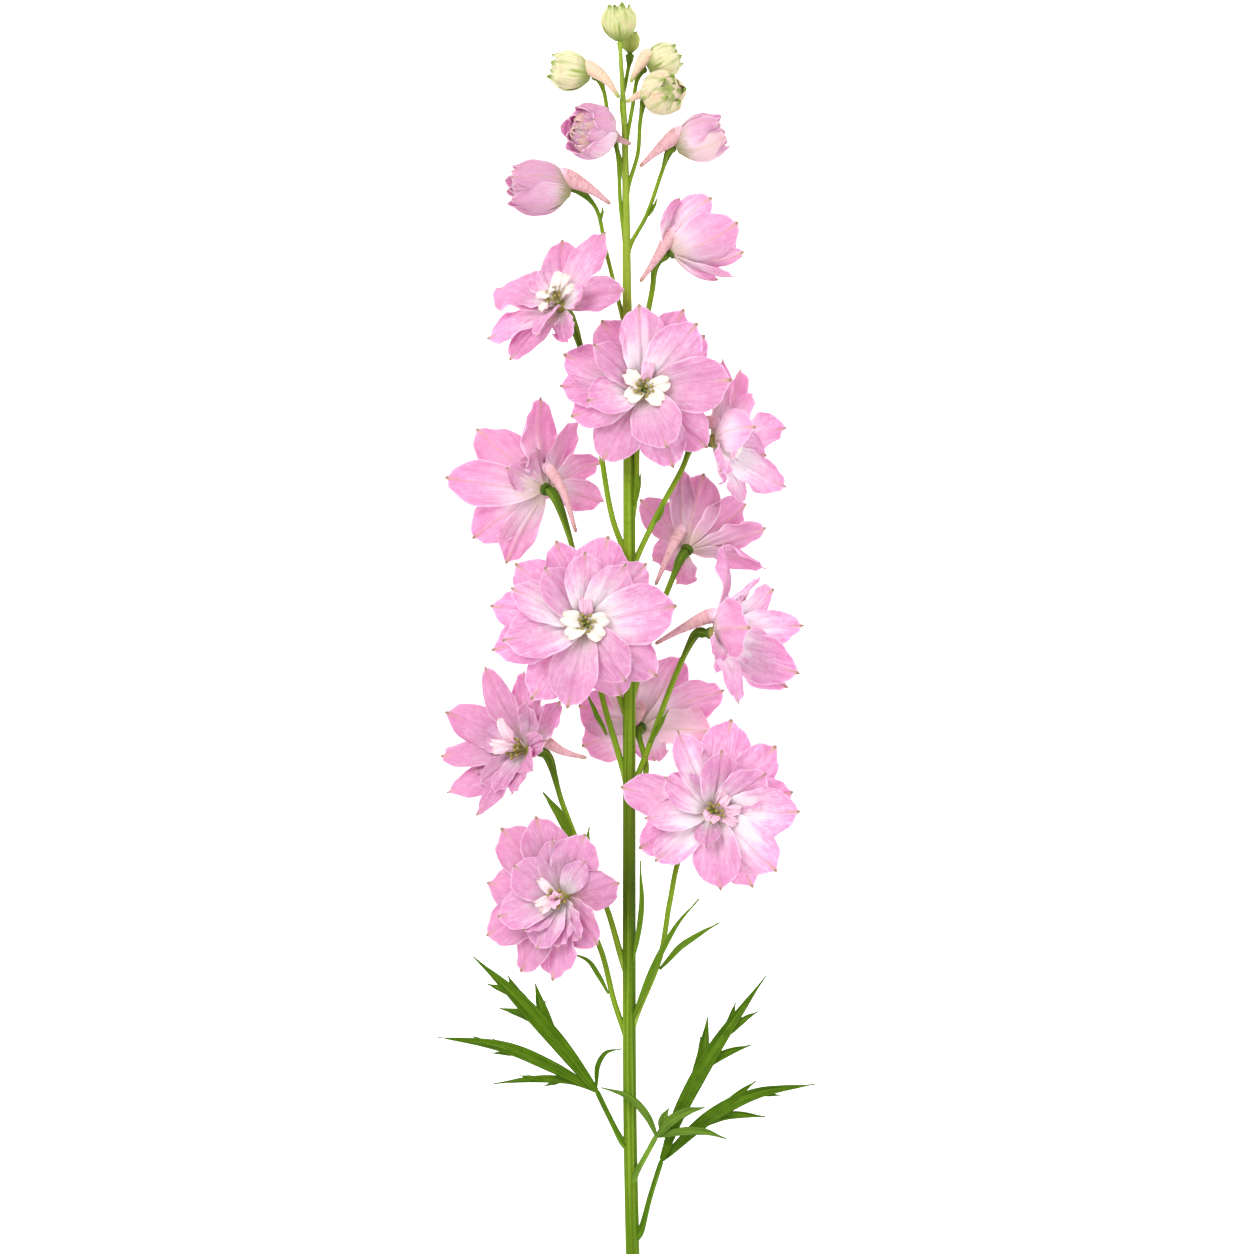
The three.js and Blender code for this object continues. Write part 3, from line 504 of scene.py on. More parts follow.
@dataclass(frozen=True)
class PetalFinish:
    """Thin pink petals, pale at the throat, with fine lengthwise veins, an olive nib and a painted
    highlight along the rim.
    """

    name: str = "petal"
    surface: Surface = Surface(0.55, 0.00022)
    pale: tuple = srgb(255, 249, 253)
    middle: tuple = srgb(247, 213, 236)
    blade: tuple = srgb(240, 191, 227)
    deep: tuple = srgb(229, 155, 206)
    sand: tuple = srgb(226, 206, 178)
    dusk: tuple = srgb(214, 158, 188)
    mauve: tuple = srgb(234, 185, 210)
    green: tuple = srgb(66, 92, 20)
    spur: tuple = srgb(205, 160, 164)
    spur_tip: tuple = srgb(166, 132, 102)
    blush: Veil = Veil(srgb(255, 246, 244), 0.3, 0.08)
    foot: Veil = Veil(sand, 0.42, 0.08, 0.75)
    back_foot: Veil = Veil(sand, 0.36, 0.02, 0.5)
    throat: Veil = Veil(srgb(240, 234, 200), 0.09, 0.02, 0.6)
    vein: Veil = Veil(srgb(217, 126, 188), 0.5, 0.62, 0.4)
    between: Veil = Veil(pale, 0.46, 0.34, 0.22)
    patch: Veil = Veil(deep, 0.45, 0.7, 0.5)
    grain: Veil = Veil(deep, 0.5, 0.68, 0.3)
    fleck: Veil = Veil(pale, 0.46, 0.3, 0.25)
    young: Veil = Veil(srgb(250, 232, 204), -0.55, -1.1, 0.85)
    streak: tuple = srgb(216, 194, 156)
    nib: Veil = Veil(srgb(170, 138, 98), 0.1, 0.02, 0.8)
    bud_foot: Veil = Veil(srgb(150, 160, 62), 0.72, 0.4, 0.75)
    wrinkle: Veil = Veil(srgb(168, 108, 120), 0.46, 0.64, 0.5)
    olive: Veil = Veil(srgb(142, 138, 70), 0.25, 0.5)
    fibres: float = 50.0
    clouds: float = 7.0
    apart: float = 9.0
    drift_scale: float = 160.0
    grain_scale: float = 800.0
    spread: float = 0.5
    paler: float = -0.32
    flush: float = 0.8
    dusky: float = 0.42
    behind: float = 0.4
    # strength of the painted highlight along the edges and at the tip
    rim: float = 0.5
    line: float = 0.75
    thin_root: float = 0.38
    thinner: float = 0.15

    def material(self) -> Material:
        """The finish as a material."""
        graph = Graph(self.name)
        across, along, off = graph.growth()
        tint, side, kind = graph.note()
        apart = graph.times(tint, self.apart)
        drift = graph.noise(graph.place(), self.drift_scale)
        clouds = graph.streaks(graph.times(across, self.clouds), graph.times(along, 1.3), apart, 2.0)
        way = graph.scaled(along, 4.5, graph.times(drift, 2.0))
        fibre = graph.streaks(graph.times(across, self.fibres), way, apart)
        shift = graph.scaled(clouds, self.spread, graph.scaled(tint, self.spread, self.paler))
        grown = graph.math("ADD", along, shift)
        stops = (
            (0.0, self.pale), (0.3, self.pale), (0.56, self.middle), (0.88, self.blade),
            (1.0, self.blade),
        )
        colour = graph.ramp(grown, stops)
        warm = graph.step(tint, 0.0, self.flush)
        colour = graph.lay(colour, self.blush, along, graph.scaled(warm, -0.4, 0.7))
        colour = graph.lay(colour, self.foot, along, warm)
        colour = graph.lay(colour, self.throat, along)
        colour = graph.lay(colour, self.vein, fibre, graph.step(grown, 0.2, 0.8))
        colour = graph.lay(colour, self.between, fibre)
        colour = graph.lay(colour, self.patch, drift, graph.step(grown, 0.35, 0.95))
        grain = graph.noise(graph.place(), self.grain_scale, 3.0)
        colour = graph.lay(colour, self.grain, grain, graph.step(grown, 0.1, 0.7))
        colour = graph.lay(colour, self.fleck, grain)
        colour = graph.mix(graph.times(warm, self.dusky), colour, self.dusk)
        colour = graph.lay(colour, self.young, tint)
        colour = graph.mix(graph.times(side, self.behind), colour, self.mauve)
        colour = graph.lay(colour, self.back_foot, along, side)
        # a paler band along the edges and at the tip: painted highlight that sets each petal off from
        # the one beneath
        rim = graph.most(graph.step(off, 0.93, 0.99), graph.step(along, 0.965, 1.0))
        colour = graph.mix(graph.times(rim, self.rim), colour, self.pale)
        tip_line = graph.times(graph.step(off, 0.09, 0.0), graph.step(along, 0.78, 0.98))
        back_line = graph.times(graph.step(off, 0.07, 0.0), side, 0.5)
        colour = graph.mix(graph.times(graph.most(tip_line, back_line), self.line), colour, self.streak)
        colour = graph.lay(colour, self.nib, off, graph.step(along, 0.955, 0.99))
        sepal = graph.is_kind(kind, Kind.SEPAL)
        colour = graph.lay(colour, self.bud_foot, graph.scaled(fibre, 0.8, along), sepal)
        spur_stops = ((0.0, self.middle), (0.2, self.spur), (0.88, self.spur), (1.0, self.spur_tip))
        bands = graph.streaks(graph.times(across, 5.0), graph.times(along, 42.0), tint)
        spur = graph.lay(graph.ramp(along, spur_stops), self.wrinkle, bands)
        colour = graph.mix(graph.is_kind(kind, Kind.SPUR), colour, spur)
        core = graph.lay(self.green, self.olive, along)
        colour = graph.mix(graph.is_kind(kind, Kind.CORE), colour, core)
        sheet = graph.math("ADD", graph.is_kind(kind, Kind.PETAL), sepal)
        thin = graph.times(sheet, graph.scaled(along, self.thinner, self.thin_root))
        return graph.finish(colour, self.surface, fibre, thin)


@dataclass(frozen=True)
class HeartFinish:
    """Cream and pink lobes, olive stamens and green carpels."""

    name: str = "heart"
    surface: Surface = Surface(0.5, 0.00012)
    cream: tuple = srgb(248, 242, 234)
    pink: tuple = srgb(244, 186, 222)
    ochre: tuple = srgb(206, 186, 132)
    foot: Veil = Veil(srgb(196, 196, 130), 0.3, 0.0)
    tip: Veil = Veil(srgb(245, 232, 222), 0.8, 1.0, 0.4)
    midline: Veil = Veil(ochre, 0.14, 0.0, 0.5)
    vein: Veil = Veil(ochre, 0.5, 0.8, 0.3)
    filament: tuple = srgb(172, 166, 104)
    anther: Veil = Veil(srgb(148, 134, 74), 0.7, 0.78)
    green: tuple = srgb(146, 164, 84)
    fibres: float = 16.0
    thin: float = 0.3

    def material(self) -> Material:
        """The finish as a material."""
        graph = Graph(self.name)
        across, along, off = graph.growth()
        tint, side, kind = graph.note()
        colour = graph.lay(graph.mix(tint, self.cream, self.pink), self.foot, along)
        colour = graph.lay(colour, self.tip, along)
        colour = graph.lay(colour, self.midline, off, graph.step(along, 1.0, 0.3))
        fibre = graph.streaks(graph.times(across, self.fibres), along, side, 2.0)
        colour = graph.lay(colour, self.vein, fibre)
        stamen = graph.lay(self.filament, self.anther, along)
        colour = graph.mix(graph.is_kind(kind, Kind.STAMEN), colour, stamen)
        colour = graph.mix(graph.is_kind(kind, Kind.CARPEL), colour, self.green)
        thin = graph.times(graph.is_kind(kind, Kind.LOBE), self.thin)
        return graph.finish(colour, self.surface, fibre, thin)


@dataclass(frozen=True)
class BudFinish:
    """Closed buds: overlapping cream or pink sepals with green ribs, tips and base."""

    name: str = "bud"
    surface: Surface = Surface(0.55, 0.0003)
    cream: tuple = srgb(218, 211, 172)
    green: tuple = srgb(122, 150, 46)
    horn: tuple = srgb(214, 190, 164)
    rose: tuple = srgb(210, 168, 150)
    leafy: tuple = srgb(160, 174, 78)
    lime: Veil = Veil(srgb(178, 186, 98), 0.0, -1.0)
    pink: Veil = Veil(srgb(220, 186, 166), 0.0, 1.0)
    flush: Veil = Veil(rose, 0.5, 0.72, 0.65)
    vein: Veil = Veil(leafy, 0.46, 0.62, 0.7)
    wrinkle: Veil = Veil(rose, 0.48, 0.62, 0.7)
    spur_tip: Veil = Veil(leafy, 0.75, 1.0)
    fibres: float = 22.0
    flush_scale: float = 300.0
    greenness: float = 0.8
    thin: float = 0.15

    def material(self) -> Material:
        """The finish as a material."""
        graph = Graph(self.name)
        across, along, off = graph.growth()
        tint, side, kind = graph.note()
        colour = graph.lay(graph.lay(self.cream, self.lime, tint), self.pink, tint)
        fibre = graph.streaks(graph.times(across, self.fibres), graph.times(along, 1.6), side)
        colour = graph.lay(colour, self.flush, graph.noise(graph.place(), self.flush_scale))
        colour = graph.lay(colour, self.vein, fibre, graph.step(along, 1.1, 0.2))
        rib = graph.times(graph.step(off, 0.22, 0.02), graph.step(along, 0.4, 0.8), 0.6)
        edge = graph.times(graph.step(off, 0.78, 0.96), graph.step(along, 0.85, 0.3))
        base = graph.step(graph.scaled(fibre, 0.3, along), 0.56, 0.2)
        tip = graph.times(graph.step(along, 0.84, 0.96), graph.step(off, 0.6, 0.2))
        green = graph.times(graph.most(rib, edge, base, tip), self.greenness)
        colour = graph.mix(green, colour, self.green)
        bands = graph.streaks(graph.times(across, 8.0), graph.times(along, 22.0), tint)
        spur = graph.lay(graph.lay(self.horn, self.wrinkle, bands), self.spur_tip, along)
        colour = graph.mix(graph.is_kind(kind, Kind.SPUR), colour, spur)
        colour = graph.mix(graph.is_kind(kind, Kind.LOBE), colour, self.green)
        thin = graph.times(graph.is_kind(kind, Kind.SEPAL), self.thin)
        return graph.finish(colour, self.surface, fibre, thin)


@dataclass(frozen=True)
class StemFinish:
    """Green stem, ribbed lengthwise, darker at the foot, with a band of painted shadow under the
    flowers.
    """

    name: str = "stem"
    surface: Surface = Surface(0.5, 0.0001, 0.06)
    foot: tuple = srgb(82, 110, 16)
    # a darker band just above the foot: painted shadow of the flowers on the stem
    painted_flower_shadow: tuple = srgb(56, 77, 9)
    middle: tuple = srgb(104, 132, 26)
    upper: tuple = srgb(128, 148, 48)
    tip: tuple = srgb(138, 160, 60)
    blade: tuple = srgb(78, 110, 18)
    cut: tuple = srgb(206, 210, 160)
    light: tuple = srgb(138, 162, 50)
    dark: tuple = srgb(46, 70, 8)
    ridge: Veil = Veil(light, 0.5, 0.64, 0.5)
    groove: Veil = Veil(dark, 0.46, 0.34, 0.6)
    knob: Veil = Veil(srgb(68, 94, 18), 0.7, 0.9)
    stalk_ridge: Veil = Veil(light, 0.48, 0.62, 0.4)
    joint: Veil = Veil(srgb(150, 172, 78), 0.12, 0.05, 0.7)
    blade_rib: Veil = Veil(middle, 0.44, 0.6, 0.5)
    spot: Veil = Veil(dark, 0.5, 0.75, 0.2)
    rib_scale: float = 1.9
    spot_scale: float = 900.0

    def material(self) -> Material:
        """The finish as a material."""
        graph = Graph(self.name)
        across, along, _ = graph.growth()
        kind = graph.note()[2]
        # the stop at 0.355 is a band of painted shadow under the flowers
        stops = (
            (0.0, self.foot), (0.29, self.foot), (0.355, self.painted_flower_shadow), (0.47, self.middle),
            (0.63, self.middle), (0.82, self.upper), (1.0, self.tip),
        )
        turn = graph.times(across, math.tau)
        sine, cosine = graph.math("SINE", turn), graph.math("COSINE", turn)
        rib = graph.noise(graph.combine(sine, cosine, graph.times(along, 2.4)), self.rib_scale, 3.0)
        colour = graph.lay(graph.lay(graph.ramp(along, stops), self.ridge, rib), self.groove, rib)
        stalk = graph.lay(graph.lay(self.middle, self.knob, along), self.stalk_ridge, rib)
        stalk = graph.lay(stalk, self.joint, along)
        colour = graph.mix(graph.is_kind(kind, Kind.STALK), colour, stalk)
        blade = graph.lay(self.blade, self.blade_rib, rib)
        colour = graph.mix(graph.is_kind(kind, Kind.BLADE), colour, blade)
        colour = graph.mix(graph.is_kind(kind, Kind.CUT), colour, self.cut)
        spots = graph.noise(graph.place(), self.spot_scale, 3.0)
        return graph.finish(graph.lay(colour, self.spot, spots), self.surface, spots)


@dataclass(frozen=True)
class LeafFinish:
    """Leaf green with darker streaks and a pale midrib and veins."""

    name: str = "leaf"
    surface: Surface = Surface(0.5, 0.0002, 0.06)
    green: tuple = srgb(70, 104, 8)
    grey: tuple = srgb(104, 134, 50)
    back: tuple = srgb(100, 130, 42)
    light: tuple = srgb(122, 154, 42)
    dark: tuple = srgb(42, 72, 6)
    spot: Veil = Veil(srgb(94, 128, 18), 0.4, 0.7, 0.45)
    streak: Veil = Veil(dark, 0.5, 0.64, 0.6)
    vein: Veil = Veil(light, 0.44, 0.34, 0.5)
    midrib: Veil = Veil(light, 0.1, 0.02, 0.5)
    rim: Veil = Veil(dark, 0.8, 1.0, 0.4)
    spot_scale: float = 320.0
    streaks: float = 12.0
    behind: float = 0.5
    thin: float = 0.22

    def material(self) -> Material:
        """The finish as a material."""
        graph = Graph(self.name)
        across, along, off = graph.growth()
        tint, side, kind = graph.note()
        spots = graph.noise(graph.place(), self.spot_scale, 4.0)
        colour = graph.lay(graph.mix(tint, self.green, self.grey), self.spot, spots)
        lines = graph.streaks(graph.times(across, self.streaks), graph.times(along, 2.2), tint)
        colour = graph.lay(graph.lay(colour, self.streak, lines), self.vein, lines)
        colour = graph.lay(graph.lay(colour, self.midrib, off), self.rim, off)
        colour = graph.mix(graph.times(side, self.behind), colour, self.back)
        thin = graph.times(graph.is_kind(kind, Kind.BLADE), self.thin)
        return graph.finish(colour, self.surface, spots, thin)


@dataclass(frozen=True)
class Ring:
    """Petals spaced evenly round a bloom: how many, how long, and how far open in degrees."""

    petals: int
    length: float
    lean: float


@dataclass(frozen=True)
class BloomPlan:
    """An open bloom.

    A petal row is the bearing and reach of its tip as seen from above, in degrees from +X and mm,
    the height of the tip over the seat, and where they differ its width, its arch and how much
    more it rolls, in radians. A heart row is a lobe's tip over the heart's foot (+X, +Y, +Z), its
    width and its share of pink.
    """

    seat: tuple
    facing: tuple
    stalk: tuple
    spur: tuple
    outer: tuple
    inner: tuple = ()
    ring: Ring | None = None
    heart: tuple = ()
    tint: float = 0.0
    spur_radius: float = 2.0


class Stage(Enum):
    """How far a bud is open."""

    CLOSED = "closed"
    LOOSE = "loose"
    GAPING = "gaping"


@dataclass(frozen=True)
class BudPlan:
    """A bud: its base, axis, size and tint, and its spur from root to tip, over the base."""

    base: tuple
    facing: tuple
    length: float
    width: float
    pink: float
    spur: tuple = ()
    spur_radius: float = 1.6
    stalk: tuple = ()
    stage: Stage = Stage.CLOSED


@dataclass(frozen=True)
class BudWhorl:
    """The sepals of one whorl: how many, their size, reach, turn and tint, and how wide they end."""

    sepals: int
    size: float
    reach: float
    turn: float
    mouth: float
    tint: float


@dataclass(frozen=True)
class LeafPlan:
    """A divided leaf: its stalk, and blades as points of the midline with the width last."""

    name: str
    stalk: tuple
    blades: tuple
    grey: float = 0.0


BLOOMS = (
    BloomPlan(
        seat=(-15.1, 226.6, 30.5),
        facing=(-0.45, 0.6, 0.66),
        stalk=((0.2, 166, 21), (-3.4, 176.2, 22), (-6, 190.6, 24), (-7.9, 205, 25.5)),
        spur=((0, 3, -2), (4, 5, -7), (9, 4, -9)),
        outer=(
            (157.5, 17.6, -8, 14.5), (92, 17, -9, 9), (64, 21.1, -1, 8), (20, 14.6, 8, 8.5),
            (-160, 19.4, -1, 11.5), (-138, 17.5, 5, 7.5, 0.1, -0.6), (-85, 7.8, 8, 6),
            (130, 12.5, -11, 9),
        ),
        inner=((-140, 8.8, 12, 7), (48, 6.8, 12, 6), (120, 11, -4, 9), (165, 11, -2, 9)),
        heart=(
            (0.3, 7.4, 3, 2.4, 0), (2.5, 6.8, 3, 2.4, 0.1), (4.4, 3.8, 3, 2.6, 0),
            (-5.4, 1.4, 3, 2.8, 0), (-4.8, -2.2, 3, 2.5, 0.1), (-2.2, 3.2, 3.8, 3, 0),
        ),
        tint=0.2,
    ),
    BloomPlan(
        seat=(3.8, 207.1, 30),
        facing=(0.05, 0.1, 0.99),
        stalk=((1.2, 176.2, 22), (2.2, 184, 23.5), (2.4, 193, 25)),
        spur=((4, 2, 0.3), (9, 4, -3), (13, 5, -4.5)),
        outer=(
            (63, 21.6, 1), (41, 19.7, 3), (-43, 20.4, 3), (-69, 19.4, 5), (-122, 19.2, 4, 12),
            (-161, 18, 3), (155, 20.6, 1.5), (174, 19.7, 3), (119, 19.4, 1.5),
        ),
        inner=(
            (91.5, 20.5, 5, 11), (51, 20.4, 7, 12), (6.5, 20.9, 6, 13), (-67, 14.6, 9, 12),
            (-170, 13.2, 9), (136, 15.8, 8, 8.5),
        ),
        heart=(
            (-4.6, 4.4, 4, 4, 0), (-4.4, -2.4, 4, 4, 0), (6.6, 1.6, 4, 4, 0),
            (4.9, -3.4, 4, 4, 0), (1, 8.2, 2.5, 2.4, 0.8), (2.2, 7.4, 2.5, 2.4, 0.8),
        ),
        tint=0.05,
    ),
    BloomPlan(
        seat=(19.7, 195.1, 22),
        facing=(0.93, 0, 0.36),
        stalk=((1.7, 165.4, 20.9), (7.9, 178.6, 20.5), (13, 188, 20)),
        spur=((1, 4.5, 0), (-3, 6, -3), (-9, 4, -4)),
        outer=(
            (85, 19.5, -4, 6, 0.1, 0.6), (79, 19.7, 3, 6, 0.1, 0.8), (63, 18.3, -8, 9, 0.1, 0.9),
            (44, 15.6, 5, 8, 0.1, 0.7),
            (7, 18.7, -9, 9.5), (-29, 21.3, -6, 8.5), (-59, 17.5, -7, 4.4, 0.1, 0.2), (60, 9, -17),
            (-50, 10, -19), (-10, 7, -21.97),
        ),
        inner=((16, 11.4, 13, 9.8, -0.28), (-66, 7.7, 13, 6), (-14, 14, -7, 9), (38, 12, -6, 9)),
        tint=-0.15,
    ),
    BloomPlan(
        seat=(-19.2, 183.4, 12.5),
        facing=(-0.45, 0.3, -0.84),
        stalk=((-0.2, 113.3, 15.6), (-5.8, 133, 16.2), (-10, 152, 16.2), (-13.4, 170.6, 16)),
        spur=((0.8, 4.6, 0.8), (4.4, 2.6, 5), (7, -10.3, 6.5)),
        outer=(
            (98, 22.1, -4, 11), (141, 21.1, -10, 12), (172.5, 23.5, -3, 10.5), (-147.5, 20.9, -6, 10.5),
            (-120, 19.8, -7, 8), (70, 18, -8, 7.5), (32, 14.2, -9.4, 9), (-9, 13.2, -9.4, 8),
            (152, 11, 0.6, 7), (108, 10.5, 0.4, 6.5),
        ),
        ring=Ring(4, 11, 34),
        tint=0.35,
        spur_radius=1.5,
    ),
    BloomPlan(
        seat=(14.2, 168.7, 13),
        facing=(0.35, 0.5, -0.79),
        stalk=((1.2, 133, 17.6), (5.5, 147.4, 17), (9.4, 158.4, 16.7)),
        spur=((-1.7, 4.3, 1), (-4.5, -1, 4.5), (-7.4, -8.2, 5.5)),
        outer=(
            (131, 16.3, -5, 8.5), (-166, 7.8, -9, 8), (-100, 7.4, -10, 8), (92, 19.2, -3, 6),
            (77, 18.5, -3, 11.5), (39, 17.8, -7, 12), (18, 19.2, -7, 9), (-8, 19.2, -6, 7),
        ),
        tint=0.45,
        spur_radius=1.5,
    ),
    BloomPlan(
        seat=(-9.6, 151.2, 25),
        facing=(-0.02, 0.02, 1),
        stalk=((0.2, 127, 16.9), (-1.7, 133.4, 17.5), (-5, 141, 19)),
        spur=((-4, 3, 0.3), (-8, 6, -2.5), (-12, 8, -3.5)),
        outer=(
            (110, 21.1, 2), (75, 21.5, 3, 13), (44, 20.2, 2), (-37, 20.6, 3), (-66, 19.2, 1.5, 12),
            (-127, 22.1, 2), (-165, 23.3, 3), (167, 23.5, 1.5), (139, 22.2, 3),
        ),
        inner=(
            (127, 16.6, 7), (91, 16.8, 8), (57, 16.8, 7), (11, 21.6, 6, 14), (-57, 16.3, 8, 11),
            (-104, 20.4, 6, 11.5), (-169, 20.2, 7, 12), (154, 19.9, 5.5),
        ),
        heart=(
            (-6.3, 2.2, 4, 4, 0), (-5.2, -3.2, 4, 4, 0), (5.4, 1.4, 4, 4, 0),
            (3.6, -3.8, 4, 4, 0), (-1.1, 7.6, 2.5, 2.4, 0.8), (0.6, 7.6, 2.5, 2.4, 0.8),
        ),
    ),
    BloomPlan(
        seat=(19.7, 149, 19.5),
        facing=(0.85, 0, 0.52),
        stalk=((1.4, 111.4, 15.3), (5, 121, 16), (10.5, 136, 16.8), (14.4, 145, 17)),
        spur=((0.2, 4.1, 1), (-6, 2, 3), (-13, -2.6, 4)),
        outer=(
            (76, 22.3, -3, 6), (46, 18, 2, 7.5), (32, 19, -9, 9), (4, 22.4, -7, 9.5), (-24, 23.3, -3),
            (-34, 22.6, -5, 7.5), (-64, 17.8, 8, 6), (60, 9, -16), (-55, 9, -17), (10, 9, -17.5),
        ),
        inner=((8, 9.6, 14, 13.6, -0.26), (-75, 6, 13, 6), (-20, 15, -6, 9), (40, 12, -4, 9)),
        tint=-0.2,
    ),
    BloomPlan(
        seat=(3.1, 126, 11.5),
        facing=(0.1, 0.35, -0.93),
        stalk=((1.7, 109, 15.1), (4.6, 116, 14.6)),
        spur=((-0.4, 4.4, 0.4), (-2.2, 0.5, 1.6), (-3.2, -5, 1.4)),
        outer=(
            (-163, 14, -7), (159, 15.4, -5), (60, 19.6, -5), (28, 22, -4), (-1, 16.8, -8),
            (-65, 8.4, -9, 9), (102, 18, -5, 12),
        ),
        tint=-0.5,
    ),
    BloomPlan(
        seat=(-22.3, 120.5, 17),
        facing=(-0.8, 0.15, 0.58),
        stalk=((-1.2, 70.6, 11.1), (-5, 83.3, 12), (-9.5, 93, 12.5), (-15.5, 108, 13.5)),
        spur=((1, 3.6, 1), (6.7, -1.5, 3), (12.7, -1.5, 3.5)),
        outer=(
            (121, 23.5, -2, 7.5), (156, 22.9, -5, 9), (180, 23, -9, 8), (-158, 22.6, -3, 9),
            (-133.5, 20.2, 5, 4.4, 0.1, -0.6), (-119, 11.4, 9.5, 4, 0.1, -0.6), (63, 13.4, 4, 7.5),
            (100, 20, -4, 6), (-135, 9, -13, 9), (90, 9, -13.5, 10),
        ),
        inner=(
            (84, 12.4, 9, 6), (-136, 13.4, 7, 5.5, 0.1, -0.6), (140, 12, -8, 9), (100, 11.6, 10, 6.5),
            (-165, 15, -3, 7), (-150, 15, 1, 6.5, 0.1, -0.4), (160, 14.5, -6, 7),
            (-100, 4.4, 12, 6.5, 0.2, -0.4), (50, 3.4, 13, 5.5),
        ),
        heart=(
            (-6.2, 7.8, 3, 2.1, 0.45), (-8.2, 2.2, 3, 2.2, 0.4), (-7.8, 0.2, 3.4, 1.9, 0.5),
            (-4.6, 5.5, 3, 2.1, 0.7),
        ),
        tint=0.55,
    ),
    BloomPlan(
        seat=(20.4, 106.3, 19),
        facing=(0.1, -0.05, 0.99),
        stalk=((1.9, 56.2, 9.6), (7.9, 71, 11), (10.3, 84.5, 12), (13, 96, 13)),
        spur=((3, 4, 0.3), (6, 9, -2.5), (7, 13, -3.5)),
        outer=(
            (77, 22.3, 2, 12), (44, 21.6, 3), (12, 19.7, 2), (-62, 20.4, 2), (-154, 19.4, 3),
            (165, 22.3, 2, 9.5),
        ),
        inner=(
            (-1, 20.9, 5, 12), (-44, 21, 4, 12), (-84, 18.7, 5, 11), (-139, 18, 5, 8.5),
            (-175, 16, 7, 8), (113, 20.6, 5, 8.5), (143, 13.7, 8, 9), (80, 14.4, 8), (35, 15.6, 8),
            (-100, 8, 9, 6),
        ),
        heart=(
            (-1.2, -2.2, 4.5, 4.2, 0.85), (3.6, 7.4, 2.5, 2.2, 0.6), (4.2, 3.6, 4, 2.2, 0.7),
            (7.2, 0.6, 2.5, 2.6, 0.7), (6.2, -3.2, 2, 2.6, 0.7),
        ),
    ),
    BloomPlan(
        seat=(-14.6, 85.9, 17),
        facing=(-0.4, -0.1, 0.91),
        stalk=((0.5, 49, 8.8), (-3.1, 60.5, 10), (-6.5, 73.4, 11.5)),
        spur=((-3.5, 3, -0.8), (-7, 6, -5), (-9, 9, -7)),
        outer=(
            (134, 22.3, -2), (111, 20.2, 2), (74, 14.9, 9), (12, 12.5, 9, 10), (-58, 13.7, 8),
            (-100, 20.4, -0.5), (-124, 21.6, -4), (-155, 22.1, -6.5), (170, 19.7, -5),
        ),
        inner=(
            (150, 14.4, 4), (-163, 16.8, 1), (-120, 14.4, 4), (-72, 10.8, 8, 7), (104, 14, 5, 8),
            (62, 9, 9, 6), (-142, 13, 5, 7), (-100, 12, 7, 7),
        ),
        heart=(
            (-5.6, 4.8, 3, 2.2, 0.35), (-6.7, -1.4, 3, 2.2, 0.3), (-5.3, -3.8, 3, 2.2, 0.4),
            (-1.7, 0.6, 4, 3.4, 0.9), (-2.5, -2.5, 4, 3.4, 0.9),
        ),
        tint=0.4,
    ),
)

BUDS = (
    BudPlan(base=(-1.7, 291, 33.6), facing=(-0.04, 1, 0.1), length=9, width=7.9, pink=-0.45),
    BudPlan(
        base=(0.7, 288.2, 29.6),
        facing=(0.05, 1, -0.2),
        length=5.2,
        width=4,
        pink=-0.9,
        stalk=((-1.3, 276, 32.5), (-0.5, 280, 31.4)),
    ),
    BudPlan(
        base=(-8.8, 282.6, 33.5),
        facing=(-1, 0.22, 0),
        length=10.2,
        width=8.9,
        pink=0.05,
        spur=((0, 1.7, 1), (3.6, -0.8, 1.8), (7, -5.4, 1.5)),
        spur_radius=2.1,
        stalk=((-1.7, 262.6, 31), (-4.4, 272.5, 32.3), (-5.6, 279, 33)),
    ),
    BudPlan(
        base=(5, 284.5, 33.5),
        facing=(0.9, 0.42, 0),
        length=8.6,
        width=8,
        pink=0.05,
        spur=((-0.4, 2.6, 1), (-2.6, -0.4, 2.4), (-4.2, -3.6, 3)),
        spur_radius=2.0,
        stalk=((-0.2, 266, 31.4), (1.3, 275, 32.3), (2.4, 281.6, 32.9)),
    ),
    BudPlan(
        base=(5.3, 277.2, 35),
        facing=(0.6, 0.22, 0.78),
        length=10.6,
        width=10,
        pink=0.35,
        spur=((-0.4, 1.4, 1), (-3, 0.4, 0.8), (-5.6, -1, 0.5)),
        spur_radius=1.9,
        stalk=((0.3, 256, 30.3), (2.6, 264, 31.5), (3.2, 272, 32.5)),
    ),
    BudPlan(
        base=(-4.6, 268.8, 34),
        facing=(-0.66, 0.06, 0.74),
        length=11.5,
        width=12.6,
        pink=-0.1,
        spur=((0.4, 0.4, 0.4), (3, -1.6, 0.6), (5.6, -2.6, 0.5)),
        spur_radius=1.9,
        stalk=((-0.5, 242.2, 28.9), (-1.6, 252, 30), (-2.2, 263, 31.5)),
        stage=Stage.GAPING,
    ),
    BudPlan(
        base=(12, 265.4, 33),
        facing=(0.93, 0.34, 0.1),
        length=12.4,
        width=10.8,
        pink=-0.35,
        spur=((-0.2, 2.8, 1), (-4.6, -0.6, 2), (-9, -4.7, 2.5)),
        spur_radius=2.3,
        stalk=((0.7, 241.7, 28.8), (4.6, 249, 30), (8.5, 260, 32)),
        stage=Stage.LOOSE,
    ),
    BudPlan(
        base=(-13.7, 255.4, 31.5),
        facing=(-1, 0.06, 0.15),
        length=15.2,
        width=12.6,
        pink=0.6,
        spur=((-0.6, 2.6, 1), (4.6, 0.2, 1.8), (9.8, -3.6, 2)),
        spur_radius=2.7,
        stalk=((-1.2, 225.4, 27.1), (-5, 240.5, 26.5), (-7.5, 251, 29)),
        stage=Stage.LOOSE,
    ),
)

